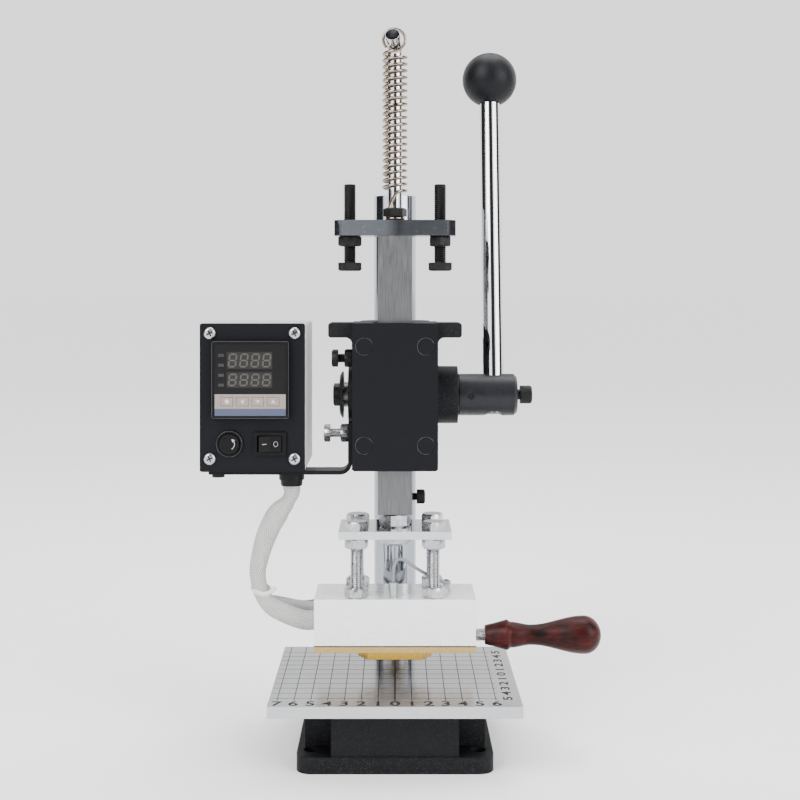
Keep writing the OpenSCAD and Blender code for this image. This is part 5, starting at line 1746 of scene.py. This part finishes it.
@dataclass
class SoftLines:
    """Return spring, heater sleeves with their tie, and thermocouple lead."""

    wire_r: float = 1.0
    coil_r: float = 7.3
    coil_turns: int = 20
    coil_last: int = 340
    coil_step: int = 15
    ram_y: float = -15.0
    hook_y: float = 5.05
    wire_step: float = 7.5
    loop_r: float = 5.35
    loop_z: float = 333.6
    loop_run: float = 8.0
    loop_start: float = 30.0
    loop_end: float = -180.0
    loop_points: int = 29
    foot_pull: Point = (0.0, 4.5, 0.0)
    coil_pull: Point = (5.5, 1.0, 3.5)
    bend_points: int = 18
    coil_bottom: float = 351.9
    coil_start: float = -70.0
    ring_r: float = 7.0
    ring_at: Point = (-0.513, -2.25, 449.433)
    ring_start: float = -90.0
    ring_end: float = 210.0
    ring_points: int = 41
    sleeve_d: float = 10.0
    sleeve_flat: Pair = (1.1, 0.86)
    sleeve_swell: tuple[float, ...] = (1.05, 0.8, 1.25, 1.2, 1.05, 0.92, 0.9, 1.05, 1.1, 1.1)
    second_d: float = 5.2
    second_flat: Pair = (1.2, 0.82)
    tie_r: float = 1.3
    tie_flat: Pair = (1.3, 0.8)
    tail_r: float = 1.2
    tail_flat: Pair = (1.2, 0.8)
    lead_d: float = 2.1
    sleeve_route: tuple[Point, ...] = (
        (-65.5, -15, 164.7), (-65.5, -15, 159.7), (-68.6, -15, 153.5), (-73, -15, 148.5), (-77.2, -15, 142),
        (-80.8, -15, 134.5), (-83.6, -15, 126.5), (-85.8, -15, 118), (-87, -15.2, 110), (-86, -15.8, 101.8),
        (-83.3, -17, 95), (-78.5, -19, 89.5), (-72, -20, 86), (-64.5, -20.6, 83),
        (-57, -21, 80.8), (-50, -21, 80.8))
    second_route: tuple[Point, ...] = (
        (-80.3, -17.6, 92.3), (-76, -15.8, 91.4), (-72, -14.5, 90.3), (-66, -13, 89), (-60, -12, 88),
        (-55, -11.6, 87.4), (-50.2, -11.5, 87.2))
    tie_ring: tuple[Point, ...] = (
        (-90.9, -13.5, 99.5), (-87.6, -19.6, 98.2), (-83.2, -21.4, 97.0),
        (-79.2, -19.8, 97.2), (-78.6, -15.4, 98.2), (-81.6, -10.6, 99.6), (-86.6, -9.6, 100.4),
        (-90.9, -13.5, 99.5))
    tie_tail: tuple[Point, ...] = (
        (-81.5, -21.0, 97.2), (-78.6, -21.6, 98.4), (-76.4, -21.8, 100.2), (-75.2, -21.9, 101.6))
    lead_route: tuple[Point, ...] = (
        (-1, -31, 106.8), (-1, -31, 112), (-0.6, -30.9, 116.5), (0.8, -30.6, 119.8), (3.5, -30, 121),
        (7.5, -29, 119), (14, -26.5, 114), (20.8, -23.5, 109.6), (26.5, -19.5, 106), (31, -14, 103),
        (34.4, -6, 100.6), (35, 2, 99.6), (33, 7.6, 99.2), (28.5, 9.6, 96.3), (22, 10, 92.5), (12, 9.4, 90.5),
        (0, 9.2, 90), (-14, 9.2, 90), (-28, 9.2, 89.8), (-40, 9.2, 88.8), (-48, 9, 87.2), (-54, 6.2, 86.2),
        (-58, 1, 87), (-62, -4.5, 88.6), (-67, -8.6, 90.6), (-72, -11.2, 92.2), (-77.2, -13.4, 93.7))

    def loop(self, degrees: float) -> Vector:
        """Gives a point of the loop under the bar bolt."""
        a = math.radians(degrees)
        return Vector((self.loop_r * math.cos(a), self.ram_y + self.loop_r * math.sin(a), self.loop_z))

    def coil(self, degrees: float, z: float) -> Vector:
        """Gives a point of the coils."""
        a = math.radians(degrees)
        return Vector((self.coil_r * math.cos(a), self.hook_y + self.coil_r * math.sin(a), z))

    def ring(self, degrees: float) -> Vector:
        """Gives a point of the ring over the hook.

        Args:
            degrees: Its angle.

        Returns:
            The point.
        """
        a = math.radians(degrees)
        x, y, z = self.ring_at
        return Vector((x + self.ring_r * math.cos(a), y, z + self.ring_r * math.sin(a)))

    def bend(self) -> list[Vector]:
        """Runs from the loop up to the first coil.

        Returns:
            The points of the bend, without its last.
        """
        foot = Vector((-self.loop_r, self.ram_y + self.loop_run, self.loop_z))
        top = self.coil(self.coil_start, self.coil_bottom)
        near, far = foot + Vector(self.foot_pull), top - Vector(self.coil_pull)
        path: list[Vector] = []
        for i in range(self.bend_points):
            t = i / self.bend_points
            path.append((1 - t) ** 3 * foot + 3 * t * (1 - t) ** 2 * near
                        + 3 * t * t * (1 - t) * far + t ** 3 * top)
        return path

    def spring_path(self) -> list[Vector]:
        """Follows the wire: loop under the bar bolt, tail, coils, ring over the hook.

        Returns:
            The points of the wire's middle.
        """
        start, end = math.radians(self.loop_start), math.radians(self.ring_end)
        tail = 2 * self.wire_r
        path = [self.loop(self.loop_start) + tail * Vector((-math.sin(start), math.cos(start), 0.0))]
        path += [self.loop(self.loop_start - self.wire_step * i) for i in range(self.loop_points)]
        path.append(self.loop(self.loop_end) + Vector((0.0, self.loop_run / 2, 0.0)))
        path += self.bend()
        sweep = 360 * self.coil_turns + self.coil_last
        steps = sweep // self.coil_step
        rise = self.ring_at[2] - self.ring_r - self.coil_bottom
        path += [self.coil(self.coil_start + sweep * i / steps, self.coil_bottom + rise * i / steps)
                 for i in range(steps)]
        path += [self.ring(self.ring_start + self.wire_step * i) for i in range(self.ring_points)]
        path.append(self.ring(self.ring_end) + tail * Vector((-math.sin(end), 0.0, math.cos(end))))
        return path

    def spring(self) -> None:
        """Makes the return spring between head and ram."""
        wire = tube(self.spring_path(), self.wire_r, sides=10)
        made = wire.object("return_spring_wire", SPRING, None, SOFT)
        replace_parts(made, "return_spring")
        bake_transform(made)

    def sleeve(self) -> None:
        """Makes the curved woven heater sleeves and their tie, between head and ram."""
        path = smooth_route(self.sleeve_route, steps=6)
        woven = tube(path, self.sleeve_d / 2, sides=28, flat=self.sleeve_flat, swell=self.sleeve_swell)
        made = woven.object("heater_braid", SLEEVE, None, SOFT)
        second = smooth_route(self.second_route, steps=6)
        thin = tube(second, self.second_d / 2, sides=20, flat=self.second_flat)
        branch = thin.object("second_braid", SLEEVE, None, SOFT)
        knot = tube(smooth_route(self.tie_ring, steps=6), self.tie_r, sides=10, flat=self.tie_flat)
        tail = smooth_route(self.tie_tail, steps=5)
        knot.merge(tube(tail, self.tail_r, sides=10, flat=self.tail_flat))
        tie = knot.object("sleeve_tie", TIE, None, SOFT)
        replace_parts(made, "heater_sleeve")
        for piece in (made, branch, tie):
            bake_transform(piece)

    def lead(self) -> None:
        """Makes the braided thermocouple lead."""
        path = smooth_route(self.lead_route, steps=5)
        made = tube(path, self.lead_d / 2, sides=12).object("thermocouple_braid", STEEL_BRAID, Body.RAM, SOFT)
        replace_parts(made, "thermocouple_lead")

    def build(self) -> None:
        """Makes the sleeves, the lead and the spring."""
        self.sleeve()
        self.lead()
        self.spring()


def main() -> None:
    """Builds the scene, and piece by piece."""
    logging.basicConfig(level=logging.INFO, format="%(name)s: %(message)s")
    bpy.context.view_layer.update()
    studio = Studio()
    studio.camera()
    SoftLines().build()
    studio.light()
    studio.floor()
    for part in (Base(), Head(), ControlBox(), Lever(), Ram(), HeatedTool()):
        part.build()
        LOG.info("%s is done", type(part).__name__)


if __name__ == "__main__":
    main()
